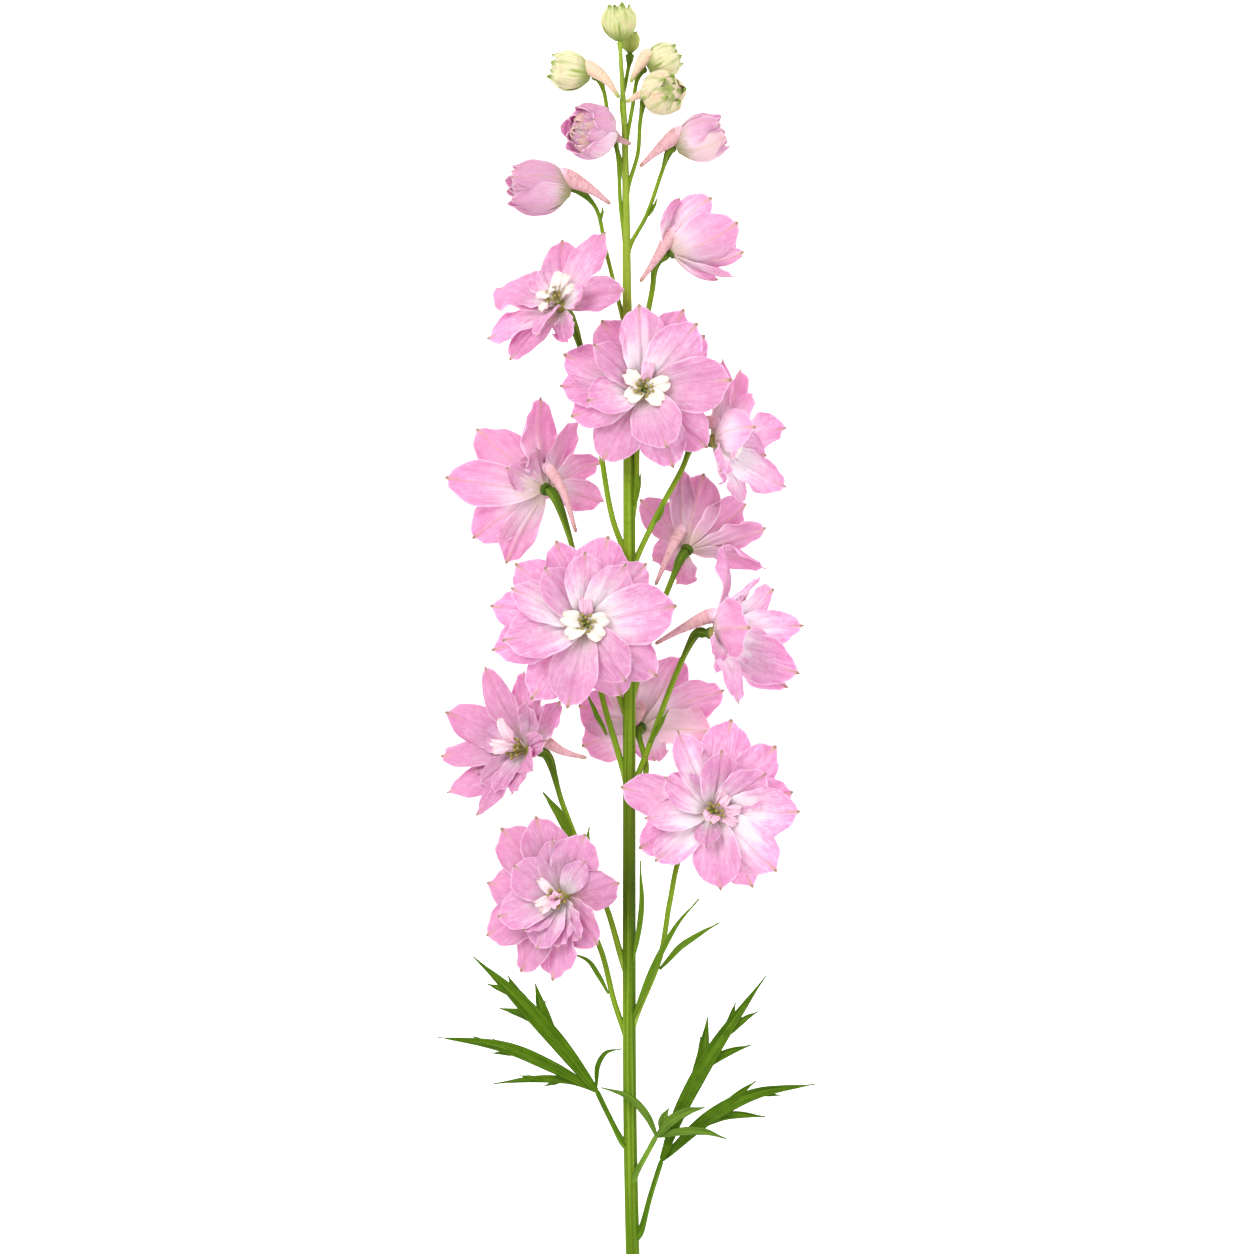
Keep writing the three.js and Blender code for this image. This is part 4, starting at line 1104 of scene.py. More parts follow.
CUP_BUD = BloomPlan(
    seat=(10.3, 240, 30.5),
    facing=(0.86, 0.5, 0.05),
    stalk=((0.5, 207, 25), (3.5, 219, 26.5), (6, 231, 28.5)),
    spur=((0.4, 4.4, 1.5), (-3, -1, 3), (-7.2, -6.9, 3)),
    outer=(
        (60, 14, -6, 11), (10, 16, -6.5, 11), (-30, 13, -4, 10), (82, 13.4, 1.5, 9, -0.2, -0.8),
        (-21, 16.6, -1, 9, -0.12), (54, 16.4, 4.6, 10, -0.22, 0.5), (0, 17.4, 3.4, 8, -0.16, -0.5),
        (24, 17.6, 6.5, 11.5, -0.26),
    ),
    inner=((30, 12, 1, 7), (50, 11, -2, 7), (12, 12, 2, 7)),
    tint=-0.1,
)

BRACTS = (
    ((1.6, 57, 11), (5.6, 67, 13), (11.5, 78.2, 14.6), (17.3, 85.2, 14), 1.5),
    ((7.9, 68.2, 11), (13.2, 73.9, 12.4), (22.1, 79.4, 11.6), 1.5),
    ((-12.8, 98.6, 12.9), (-16.4, 105.6, 14.6), (-20.2, 110.8, 15.2), 2.2),
    ((-9.6, 93, 12.6), (-9.6, 97.5, 14.2), (-9.1, 102.4, 15), 1.3),
    ((-4.4, 62.4, 10.2), (-9.4, 70.3, 12.2), (-13.6, 72.2, 12.4), 1.1),
    ((1.4, 70, 12.4), (3.4, 82, 14.4), (3.2, 94.4, 16.6), 1.3),
)

LEAVES = (
    LeafPlan(
        name="leaf_left",
        stalk=((-1.2, 26.9, 7), (-4.4, 33, 7.8), (-7.5, 39.4, 8.6)),
        blades=(
            (
                (-7.5, 39, 8.6), (-12.2, 45.2, 9.4), (-17.6, 51.8, 10), (-26.8, 61.8, 9),
                (-37, 71.2, 6), 4.8,
            ),
            ((-24, 61, 9.2), (-26.6, 63, 8.8), (-28.6, 66.6, 7.6), 2),
            ((-26, 61.4, 9), (-30, 63.4, 8.2), (-33.6, 64.6, 6.8), 2),
            ((-18, 53.4, 10), (-24.4, 57.2, 8.8), (-30.7, 58.8, 7), 2.8),
            ((-17.2, 52, 10), (-20.2, 58.2, 9.4), (-22.1, 64.8, 8), 3),
            ((-18.4, 54, 10), (-19.6, 57.6, 9.6), (-19.7, 60.8, 9), 1.3),
            ((-7.5, 39, 8.6), (-18.5, 45, 8.4), (-30, 49.6, 6.8), (-45.7, 51.8, 3.6), 3.6),
            ((-25.4, 47.8, 7.6), (-29, 49.9, 7), (-32.4, 51.4, 6), 1.6),
            ((-25.4, 47.6, 7.4), (-29.4, 48, 6.8), (-32.8, 48, 6), 1.3),
            ((-33.6, 50, 6.4), (-35.6, 51.3, 6), (-37.4, 52.2, 5.4), 1),
            ((-7.5, 39, 8.6), (-14, 41.4, 7.8), (-23, 41.7, 6.6), (-32.2, 40.6, 5), 2.2),
            ((-20, 41.4, 7.2), (-23.4, 42.2, 6.9), (-26, 42.6, 6.4), 1.2),
            ((-15.6, 41.2, 7.7), (-18, 40.7, 7.2), (-20.2, 40, 6.6), 1.1),
            ((-7.4, 39.4, 8.6), (-7, 45, 10.4), (-5, 48.2, 12.2), (-1.4, 49.1, 13), 1.5),
        ),
    ),
    LeafPlan(
        name="leaf_right",
        stalk=((3.1, 4.8, 4.6), (5.6, 13.6, 5.2), (8.5, 22.8, 6)),
        blades=(
            ((8.4, 22.4, 5.9), (12.8, 34, 7.6), (20.6, 48.4, 8), (28.6, 60, 6.8), (33.4, 66.5, 5), 4.4),
            ((23.4, 52.4, 8), (25, 56.4, 7.2), (26.1, 60.2, 6.4), 1.8),
            ((24, 52.2, 8), (28, 56, 7), (31.5, 58, 5.8), 1.9),
            ((17, 43.4, 8.2), (23, 47.6, 7.2), (29.9, 50, 5.6), 2.4),
            ((15.4, 40.4, 8.1), (18.2, 48, 8), (19.4, 56.8, 6.6), 3),
            ((16.2, 43.4, 8.1), (17.4, 48, 7.8), (17.7, 52, 7.2), 1.3),
            ((8.4, 22.4, 5.9), (20.4, 33, 6.6), (31, 38.2, 5.2), (45.4, 40.5, 2.6), 3.9),
            ((21.6, 33.6, 6.6), (26.4, 37.8, 6), (31.2, 41.4, 5), 1.9),
            ((31, 38, 5.4), (34.4, 38, 4.6), (37, 37.7, 3.8), 1.2),
            ((17.6, 30.4, 6.6), (24.4, 33, 5.8), (33.4, 32.7, 3.8), 2.3),
        ),
    ),
    LeafPlan(
        name="leaf_front",
        grey=0.75,
        stalk=((1.9, 18.7, 6.8), (4.6, 23.6, 8.4), (7.2, 28.4, 9.8)),
        blades=(
            ((7.2, 28, 9.8), (4.4, 33.6, 11.6), (0, 37.8, 12.8), (-6.2, 39.8, 12.6), 2.2),
            ((7.2, 28, 9.8), (10.5, 31.8, 11), (14.4, 34, 11), (18.7, 35, 9.6), 3),
            ((8.2, 29.4, 10), (8.6, 32, 10.6), (10, 34.8, 10.8), 2.4),
            ((7.2, 28, 9.8), (13, 29.2, 10.4), (18.4, 29.2, 9.8), (24, 27.4, 8), 2.4),
        ),
    ),
)

WHORLS = {
    Stage.CLOSED: (BudWhorl(5, 1.0, 0.98, 0.32, 0.6, 0.0), BudWhorl(4, 0.88, 0.96, 0.7, 0.2, 0.0)),
    Stage.LOOSE: (
        BudWhorl(5, 1.0, 1.0, 0.38, 0.74, 0.0),
        BudWhorl(5, 0.86, 0.98, 0.9, 0.62, 0.3),
        BudWhorl(4, 0.7, 0.95, 0.3, 0.4, -0.2),
        BudWhorl(3, 0.5, 0.93, 0.6, 0.1, -0.2),
    ),
    Stage.GAPING: (
        BudWhorl(5, 1.0, 1.0, 0.35, 0.86, 0.1),
        BudWhorl(5, 0.86, 1.0, 0.85, 0.66, -0.3),
        BudWhorl(4, 0.7, 1.0, 0.2, 0.46, -0.9),
        BudWhorl(3, 0.52, 1.0, 0.6, 0.28, -1.1),
        BudWhorl(3, 0.34, 1.0, 0.1, 0.1, -1.1),
    ),
}


@dataclass(frozen=True)
class PetalShape:
    """How the petals of one whorl are formed, all lengths in mm.

    start is how far up the axis they grow, point and round_end are how far the edges fall short of
    the tip, straight and round, fuller widens the planned widths, claw is the share of the width at
    the root, notch and nib the dip and the point at the tip, the widths are shares of the half
    width, and the rest is the depth of each kind of relief.
    """

    width: float = 11.0
    arch: float = 0.1
    cup: float = 0.12
    start: float = 0.7
    thick: float = 0.24
    rows: int = 28
    half_columns: int = 11
    point: float = 0.07
    round_end: float = 0.35
    fuller: float = 1.08
    claw: float = 0.12
    notch: float = 0.0
    nib: float = 0.03
    ruffle: float = 0.9
    wave: float = 0.35
    pleat: float = 0.2
    crease: float = 0.35
    hook: float = 0.35
    recurve: float = 0.06
    notch_width: float = 0.3
    nib_width: float = 0.07
    crease_width: float = 0.09
    hook_width: float = 0.12


@dataclass(frozen=True)
class PetalSizes:
    """What sets a petal apart: greatest width, arch, cup, twist along it and roll about it."""

    width: float
    arch: float
    cup: float
    roll: float
    twist: float = 0.0


def columns_across(half: int) -> np.ndarray:
    """Places from -1 to 1 across a petal, closer together near the middle."""
    steps = np.linspace(-1, 1, 2 * half + 1)
    return np.sign(steps) * np.abs(steps) ** 1.25


def ridge(across: np.ndarray, width: float) -> np.ndarray:
    """A ridge of height 1 along the middle, as a bell curve of a width."""
    return np.exp(-((across / width) ** 2))


@dataclass(frozen=True)
class Petal:
    """One petal in its place.

    side is the direction across it, and play six numbers from 0 to 1 that set it apart.
    """

    shape: PetalShape
    sizes: PetalSizes
    root: np.ndarray
    tip: np.ndarray
    side: np.ndarray
    play: np.ndarray

    def grid(self) -> tuple[np.ndarray, np.ndarray]:
        """The places across, from -1 to 1, and along, from 0 to 1."""
        across = columns_across(self.shape.half_columns)[None, :]
        return across, np.linspace(0, 1, self.shape.rows)[:, None]

    def shares(self) -> np.ndarray:
        """How far along the midline each point lies, from 0 at the root to 1 at the tip.

        The far edge is an arc that falls short of the tip and is made uneven by two sines, with a
        small notch and a nib in its middle.

        Returns:
            Shares as rows along by columns across.
        """
        shape, play = self.shape, self.play
        across, along = self.grid()
        edge = np.abs(across)
        arc = 1 - np.sqrt(1 - (0.98 * edge) ** 2)  # just under 1, so that it never stands upright
        uneven = 0.016 * np.sin(9 * across + 6 * play[1]) + 0.005 * np.sin(17 * across + 6 * play[4])
        shortfall = shape.point * (0.4 + play[5]) * edge + shape.round_end * arc + uneven * edge**0.5
        notch = shape.notch * along**6 * ridge(across, shape.notch_width)
        nib = shape.nib * along**14 * ridge(across, shape.nib_width)
        return along * (1 - shortfall) - notch + nib

    def relief(self, half: np.ndarray, length: float) -> np.ndarray:
        """How far each point stands off the plain blade.

        The edges lift with the square of the way across and ruffle with a sine, the blade has soft
        pleats and a crease along its middle, its end turns back and its tip hooks forward.

        Args:
            half: the half width at each place along.
            length: from root to tip.

        Returns:
            Heights as rows along by columns across.
        """
        shape, play = self.shape, self.play
        across, along = self.grid()
        edge = np.abs(across)
        phase = 2 * np.pi * play
        waves = 2 * np.pi * (1.3 + 1.4 * play[0]) * along
        ruffle = shape.ruffle * edge**2.6 * along**1.3 * np.sin(waves + phase[1] + 2.3 * (across > 0))
        ripple = np.sin(2 * np.pi * (0.8 + play[2]) * across + phase[3])
        wave = shape.wave * along**7 * (1 - edge**6) * ripple
        folds = (3 + np.round(2 * play[4])) * np.pi * across
        pleat = shape.pleat * along**0.7 * (1 - edge**4) * np.cos(folds + phase[5])
        crease = -shape.crease * ridge(across, shape.crease_width) * ease(along, 0.1, 0.5)
        back = -shape.recurve * (0.4 + 1.2 * play[3]) * length * ease(along, 0.55, 1) ** 2
        hook = shape.hook * ridge(across, shape.hook_width) * ease(along, 0.9, 1)
        return self.sizes.cup * half * across**2 + ruffle + wave + pleat + crease + back + hook

    def surface(self) -> np.ndarray:
        """The middle surface of the petal.

        The midline is a bend of second order from root to tip that leaves the chord by arch times
        its length. The half width grows with a quarter sine, and the direction across turns about
        the midline by roll, and by twist on the way to the tip.

        Returns:
            Points as rows along by columns across by 3.
        """
        root, tip, side, shape, sizes = self.root, self.tip, self.side, self.shape, self.sizes
        across, along = self.grid()
        share = self.shares()
        chord = tip - root
        length = np.linalg.norm(chord)
        middle = root + chord / 2 + unit(np.cross(chord, side)) * sizes.arch * length
        held = share[..., None]
        centre = (1 - held) ** 2 * root + 2 * held * (1 - held) * middle + held**2 * tip
        tangent = unit((1 - held) * (middle - root) + held * (tip - middle))
        plain = np.cross(tangent, side)
        turn = (sizes.roll + sizes.twist * share)[..., None]
        sideways = side * np.cos(turn) + plain * np.sin(turn)
        normal = plain * np.cos(turn) - side * np.sin(turn)
        half = sizes.width * shape.fuller / 2 * blend(shape.claw, 1, np.sin(np.pi / 2 * along**0.85))
        lift = self.relief(half, length)
        return centre + sideways * (half * across)[..., None] + normal * lift[..., None]

    def add_to(self, parts: MeshParts, note: tuple[float, Kind]) -> None:
        """Adds the petal, thinner towards its rim, with its tint and kind."""
        across, along = self.grid()
        thick = self.shape.thick * (1 - 0.6 * np.maximum(np.abs(across), along) ** 6)
        parts.add_sheet(self.surface(), across[0], thick, note)


@dataclass(frozen=True)
class Spur:
    """A spur that swells from its root and tapers to a round tip, with fine wrinkles."""

    knots: np.ndarray
    radius: float
    tint: float
    tip_radius: float = 0.45
    wrinkle: float = 0.035
    neck: float = 0.7
    steps: int = 70
    sides: int = 22

    def add_to(self, parts: MeshParts) -> None:
        """Adds the spur, from inside the flower to its tip."""
        share = np.linspace(0, 1, self.steps + 1)
        wrinkles = 1 + self.wrinkle * np.sin(150 * share + 3 * np.sin(9 * share))
        radii = blend(self.radius, self.tip_radius, ease(share, 0.05, 1.1) ** 0.7) * wrinkles
        radii *= blend(self.neck, 1, ease(share, 0, 0.14)) * nosed(share, 0.05)
        parts.add_tube(smooth_path(self.knots, self.steps), radii, self.sides, (self.tint, Kind.SPUR))


@dataclass
class Bloom:
    """One open bloom: two whorls of petals on a core, a spur, and a heart of lobes and stamens.

    The plain lobes make up a heart that has no plan of its own. A petal whose tip lies within the
    angle steep of the axis bends inwards by steep_arch, and each play is how far petals or stamens
    differ from one another.
    """

    plan: BloomPlan
    number: int
    seed: int = 100
    outer: PetalShape = PetalShape()
    inner: PetalShape = PetalShape(width=10.0, arch=0.16, cup=0.22, start=1.9, ruffle=0.6, recurve=0.03)
    lobe: PetalShape = PetalShape(
        thick=0.6, rows=18, half_columns=7, point=0.0, round_end=0.4, fuller=1.0, claw=0.4, notch=0.12,
        nib=0.0, ruffle=0.5, wave=0.5, pleat=0.15, crease=0.4, hook=0.0, recurve=0.12,
    )
    lobe_arch: float = 0.28
    lobe_cup: float = 0.35
    lobe_root: float = 0.7
    plain_lobes: int = 6
    plain_lobe_rise: float = 3.6
    plain_lobe_reach: float = 4.6
    plain_lobe_width: float = 3.4
    plain_lobe_pink: float = 0.8
    core: tuple = ((1.3, -0.35), (1.5, 0.2), (1.6, 1.4), (1.2, 2.4), (0.1, 2.8))
    core_steps: int = 18
    core_sides: int = 24
    core_tip: float = 0.05
    stamens: int = 14
    stamen_turn: float = 2.4
    stamen_radius: float = 0.2
    stamen_rise: float = 2.6
    stamen_play: float = 1.2
    stamen_least: float = 0.7
    stamen_reach: float = 2.2
    carpels: int = 3
    carpel_radius: float = 0.42
    carpel_rise: float = 3.0
    thread_steps: int = 15
    thread_sides: int = 8
    spur_depth: float = 3.0
    spur_straight: float = 0.65
    root_radius: float = 1.0
    roll: float = 0.3
    steep: float = math.radians(55)
    steep_arch: float = -0.12
    tint_play: float = 0.45
    cup_play: float = 0.06
    twist_play: float = 0.12
    bearing_play: float = 0.15

    def __post_init__(self) -> None:
        """Works out where the bloom stands and how its parts differ."""
        self.origin = np.array(self.plan.seat, float)
        self.axis = unit(np.array(self.plan.facing, float))
        self.random = np.random.default_rng(self.seed + self.number)
        self.name = f"bloom_{self.number + 1:02d}"

    def rows(self) -> list[tuple]:
        """Every petal as its whorl, the place of its tip, its sizes and its number."""
        found = []
        for shape, whorl in ((self.outer, self.plan.outer), (self.inner, self.plan.inner)):
            for place, (bearing, reach, rise, *own) in enumerate(whorl):
                angle = math.radians(bearing)
                tip = np.array((reach * math.cos(angle), reach * math.sin(angle), rise))
                steep = math.acos(float(unit(tip) @ self.axis)) < self.steep
                usual = (shape.width, self.steep_arch if steep else shape.arch, 0.0)
                width, arch, more = (*own, *usual[len(own) :])
                sizes = PetalSizes(width, arch, shape.cup, self.roll + more)
                found.append((shape, tip, sizes, place))
        return found + self.ring_rows()

    def ring_rows(self) -> list[tuple]:
        """The petals that a ring adds on the far side of a bloom seen from behind."""
        ring = self.plan.ring
        if ring is None:
            return []
        lean = math.radians(ring.lean)
        sizes = PetalSizes(self.inner.width, self.inner.arch, self.inner.cup, self.roll)
        found = []
        for place in range(ring.petals):
            angle = math.tau * place / ring.petals + self.bearing_play * vary(place, self.number)
            out = around(self.axis, AHEAD, angle)
            tip = ring.length * (self.axis * math.cos(lean) + out * math.sin(lean))
            found.append((self.inner, tip, sizes, place))
        return found

    def build_petals(self) -> MeshParts:
        """The petals with the core and the spur."""
        parts = MeshParts()
        for shape, tip, sizes, place in self.rows():
            outward = across_axis(tip, self.axis)
            root = self.origin + self.axis * shape.start + outward * self.root_radius
            cup = shape.cup + self.cup_play * vary(place, self.number)
            twist = self.twist_play * vary(place, self.number + 1)
            tint = self.plan.tint + self.random.uniform(-self.tint_play, self.tint_play)
            own = replace(sizes, cup=cup, twist=twist)
            side = np.cross(self.axis, outward)
            petal = Petal(shape, own, root, self.origin + tip, side, self.random.random(6))
            petal.add_to(parts, (tint, Kind.PETAL))
        self.add_core(parts)
        Spur(self.spur_knots(), self.plan.spur_radius, self.plan.tint).add_to(parts)
        return parts

    def add_core(self, parts: MeshParts) -> None:
        """Adds the core, a smooth body of revolution along the axis."""
        outline = smooth_path([(radius, height, 0.0) for radius, height in self.core], self.core_steps)
        heights = np.linspace(outline[0, 1], outline[-1, 1], len(outline))
        radii = np.maximum(np.interp(heights, outline[:, 1], outline[:, 0]), self.core_tip)
        path = self.origin + heights[:, None] * self.axis
        parts.add_tube(path, radii, self.core_sides, (0.0, Kind.CORE))

    def spur_knots(self) -> np.ndarray:
        """The bends of the spur, from inside the flower; its middle leans towards the chord."""
        root, middle, tip = np.array(self.plan.spur, float)
        straight = blend(middle, (root + tip) / 2, self.spur_straight)
        return self.origin + np.array((root + self.axis * self.spur_depth, root, straight, tip))

    def lobe_tips(self) -> list[tuple]:
        """The tips of the heart's lobes over its foot, each with its width and its share of pink."""
        if self.plan.heart:
            return [(np.array(row[:3], float), row[3], row[4]) for row in self.plan.heart]
        found = []
        for place in range(self.plain_lobes):
            out = around(self.axis, ASLANT, math.tau * place / self.plain_lobes)
            tip = self.axis * self.plain_lobe_rise + out * self.plain_lobe_reach
            pink = self.plain_lobe_pink if place % 3 == 0 else 0.0
            found.append((tip, self.plain_lobe_width, pink))
        return found

    def add_thread(self, parts: MeshParts, knots: tuple, radii: np.ndarray, kind: Kind) -> None:
        """Adds a stamen or a carpel through its bends."""
        parts.add_tube(smooth_path(knots, self.thread_steps), radii, self.thread_sides, (0.0, kind))

    def build_heart(self) -> MeshParts:
        """The lobes, stamens and carpels; the stamens stand in a spiral and end in a swelling."""
        parts = MeshParts()
        foot = self.origin + self.axis * (CORE_TOP + SEAT_GAP)
        for tip, width, pink in self.lobe_tips():
            outward = across_axis(tip, self.axis)
            root = foot + outward * self.lobe_root
            sizes = PetalSizes(width, self.lobe_arch, self.lobe_cup, self.roll)
            side = np.cross(self.axis, outward)
            lobe = Petal(self.lobe, sizes, root, foot + tip, side, self.random.random(6))
            lobe.add_to(parts, (pink, Kind.LOBE))
        share = np.linspace(0, 1, self.thread_steps + 1)
        radii = self.stamen_radius * (1 + 1.4 * ridge(share - 0.86, 0.12)) * nosed(share, 0.1)
        for place in range(self.stamens):
            out = around(self.axis, ASLANT, self.stamen_turn * place)
            reach = self.stamen_least + self.stamen_reach * math.sqrt(place / self.stamens)
            height = self.stamen_rise + self.stamen_play * self.random.random()
            bend = foot + out * reach * 0.7 + self.axis * height * 0.6
            knots = (foot + out * 0.3, bend, foot + out * reach + self.axis * height)
            self.add_thread(parts, knots, radii, Kind.STAMEN)
        radii = self.carpel_radius * (1 - 0.7 * share) * nosed(share, 0.08)
        for place in range(self.carpels):
            out = around(self.axis, ASLANT, math.tau * place / self.carpels)
            bend = foot + out * 0.6 + self.axis * 1.4
            knots = (foot + out * 0.2, bend, foot + out * 0.5 + self.axis * self.carpel_rise)
            self.add_thread(parts, knots, radii, Kind.CARPEL)
        return parts

    def build(self, petal: Material, heart: Material) -> None:
        """Makes both pieces of the bloom."""
        add_piece(self.build_petals(), f"{self.name}_flower", petal, f"{self.name}_petals")
        add_piece(self.build_heart(), f"{self.name}_heart", heart, f"{self.name}_centre")


@dataclass
class Bud:
    """A bud whose sepals lap round an egg, whorl within whorl.

    Each outer sepal of a closed bud ends in a small knob. lap, dome, crimp and curl are shares of
    the bud's greatest radius, closing is how far lap and dome fade towards the tip, and narrowing
    how much narrower a sepal gets there.
    """

    plan: BudPlan
    number: int
    seed: int = 300
    rows: int = 28
    half_columns: int = 9
    thick: float = 0.28
    egg: tuple = ((0, 0.32), (0.16, 0.72), (0.36, 0.94), (0.6, 1), (0.82, 0.9))
    core_radius: float = 0.72
    core_length: float = 0.93
    core_mouth: float = 0.1
    swollen: float = 0.86
    lap: float = 0.18
    dome: float = 0.12
    crimp: float = 0.012
    curl: float = 0.06
    closing: float = 0.6
    shoulder: float = 0.15
    spread: float = 0.74
    narrowing: float = 0.5
    sway: float = 0.12
    uneven: float = 0.03
    knob_radius: float = 0.34
    knob_length: float = 1.0
    spur_depth: float = 0.2
    tint_play: float = 0.5

    def __post_init__(self) -> None:
        """Works out where the bud stands."""
        self.origin = np.array(self.plan.base, float)
        self.axis = unit(np.array(self.plan.facing, float))
        self.across = across_axis(UP, self.axis)
        self.up = np.cross(self.axis, self.across)
        self.half = self.plan.width / 2
        self.random = np.random.default_rng(self.seed + self.number)
        self.closed = self.plan.stage is Stage.CLOSED
        self.columns = columns_across(self.half_columns)

    def swell(self, along: np.ndarray, mouth: float) -> np.ndarray:
        """The radius of a whorl along the bud, as a share of its greatest one."""
        egg = smooth_path([(share, radius, 0) for share, radius in (*self.egg, (1, mouth))], 40)
        return np.interp(along, egg[:, 0], egg[:, 1])

    def sepal_surface(self, whorl: BudWhorl, place: int) -> np.ndarray:
        """The middle surface of a sepal.

        Its radius follows the egg; one edge lifts over its neighbour, the middle is domed, the
        shoulders fall short of the tip with the square of the way across, and the tip curls out.

        Args:
            whorl: the whorl it belongs to.
            place: its place in the whorl.

        Returns:
            Points as rows along by columns across by 3.
        """
        columns = self.columns
        along = np.linspace(0, 1, self.rows)[:, None]
        play = vary(place, self.number)
        closing = 1 - self.closing * ease(along, 0.7, 1)
        lifted = self.lap * (columns + 1) / 2 * ease(along, 0, 0.3) * closing
        domed = self.dome * (1 - columns**2) * ease(along, 0.1, 0.5) * closing
        crimp = self.crimp * np.sin(16 * along + 5 * columns + 4 * play)
        curl = self.curl * ease(along, 0.86, 1)
        swell = self.swollen * self.swell(along, whorl.mouth)
        radius = self.half * whorl.size * (swell + lifted + domed + curl + crimp)
        narrow = 1 - self.narrowing * ease(along, 0.6, 1)
        step = 2 * np.pi / whorl.sepals
        angle = step * (place + whorl.turn) + self.sway * play + self.spread * step * columns * narrow
        short = self.shoulder * columns**2 * ease(along, 0.35, 1)
        reach = whorl.reach * (1 - self.uneven * (1 + play))
        height = self.plan.length * reach * (along - short)
        out = self.across * np.cos(angle)[..., None] + self.up * np.sin(angle)[..., None]
        return self.origin + self.axis * height[..., None] + out * radius[..., None]

    def add_knob(self, parts: MeshParts, tip: np.ndarray) -> None:
        """Adds the small knob on the tip of a sepal."""
        out = across_axis(tip - self.origin, self.axis)
        way = unit(self.axis + out * 0.5)
        share = np.linspace(0, 1, 13)
        path = tip + way * (self.knob_length * (share - 0.7))[:, None]
        radii = self.knob_radius * nosed(share, 0.5, 0.2) * nosed(1 - share, 0.4, 0.5)
        parts.add_tube(path, radii, 10, (self.plan.pink, Kind.LOBE))

    def build_parts(self) -> MeshParts:
        """The egg inside, the sepals with their knobs, and the spur."""
        parts = MeshParts()
        share = np.linspace(0, 1, 12)
        radii = self.core_radius * self.half * self.swell(share, self.core_mouth)
        path = self.origin + self.axis * (self.core_length * self.plan.length * share)[:, None]
        parts.add_tube(path, radii, 24, (self.plan.pink, Kind.SEPAL))
        thick = self.thick * (1 - 0.5 * np.abs(self.columns) ** 6)
        for layer, whorl in enumerate(WHORLS[self.plan.stage]):
            for place in range(whorl.sepals):
                surface = self.sepal_surface(whorl, place)
                tint = self.plan.pink + whorl.tint
                if not self.closed:
                    tint += self.random.uniform(-self.tint_play, self.tint_play)
                parts.add_sheet(surface, self.columns, thick, (tint, Kind.SEPAL))
                if self.closed and layer == 0:
                    self.add_knob(parts, surface[-1, self.half_columns])
        if self.plan.spur:
            root, middle, tip = np.array(self.plan.spur, float)
            inside = root + self.axis * self.spur_depth * self.plan.length
            knots = self.origin + np.array((inside, root, middle, tip))
            Spur(knots, self.plan.spur_radius, self.plan.pink).add_to(parts)
        return parts

    def build(self, closed: Material, opening: Material) -> None:
        """Makes the bud in the finish of its stage."""
        name = f"bud_{self.number + 1}"
        finish, slot = (closed, "bud_pale") if self.closed else (opening, "bud_pink")
        add_piece(self.build_parts(), f"{name}_{self.plan.stage.value}", finish, name)


CUP_PETAL = PetalShape(
    arch=-0.22, cup=0.34, start=0.4, ruffle=0.25, wave=0.15, recurve=-0.02, claw=0.34, point=0.03,
    round_end=0.45, fuller=1.12,
)


@dataclass
class CupBud(Bloom):
    """The bud that is nearly open: broad petals round a cup, seen from outside."""

    outer: PetalShape = CUP_PETAL
    inner: PetalShape = replace(CUP_PETAL, arch=-0.2, start=1.2)
    least_bulge: float = 0.1

    def rows(self) -> list[tuple]:
        """Every petal bulges out of the cup."""
        found = []
        for shape, tip, sizes, place in super().rows():
            arch = min(sizes.arch, -self.least_bulge)
            found.append((shape, tip, replace(sizes, arch=arch, roll=sizes.roll - self.roll), place))
        return found

    def build_cup(self, finish: Material, node: str) -> None:
        """Makes the bud."""
        add_piece(self.build_petals(), f"{node}_cup", finish, node)


def stem_axis(y: float) -> np.ndarray:
    """The middle of the stem at a place along it."""
    stations = np.array(STEM_STATIONS, float)
    x = float(np.interp(y, stations[:, 1], stations[:, 0]))
    return np.array((x, y, CUT_AXIS_HEIGHT + STEM_CLIMB * (y - CUT_Y)))


def blade_surface(
    row: tuple, rows: int, columns: np.ndarray, fold: float, drop: float, slim: float
) -> np.ndarray:
    """The middle surface of a narrow green blade.

    The width rises and falls with half a sine and closes to a point, and both halves fold up from
    the midline and wave a little.

    Args:
        row: points of the midline, then the greatest width.
        rows: how many rows of points.
        columns: places across, from -1 to 1.
        fold: how steeply the halves rise.
        drop: how far the blade sits under the given points.
        slim: the share of the planned width that it has.

    Returns:
        Points as rows along by columns across by 3.
    """
    *points, width = row
    path = smooth_path(points, rows - 1)
    tangent = unit(np.gradient(path, axis=0))
    side = unit(np.cross(UP, tangent))
    normal = np.cross(tangent, side)
    share = np.linspace(0, 1, rows)
    spread = blend(0.34, 1, np.sin(np.pi * share**0.9)) * np.maximum(1 - share**5, 0.02) ** 0.9
    reach = (slim * width / 2 * spread)[:, None] * columns
    wave = 0.06 * width * np.sin(5 * np.pi * share + width)[:, None] * columns
    lift = fold * np.abs(reach) + wave * np.abs(columns) - drop
    return path[:, None] + side[:, None] * reach[..., None] + normal[:, None] * lift[..., None]


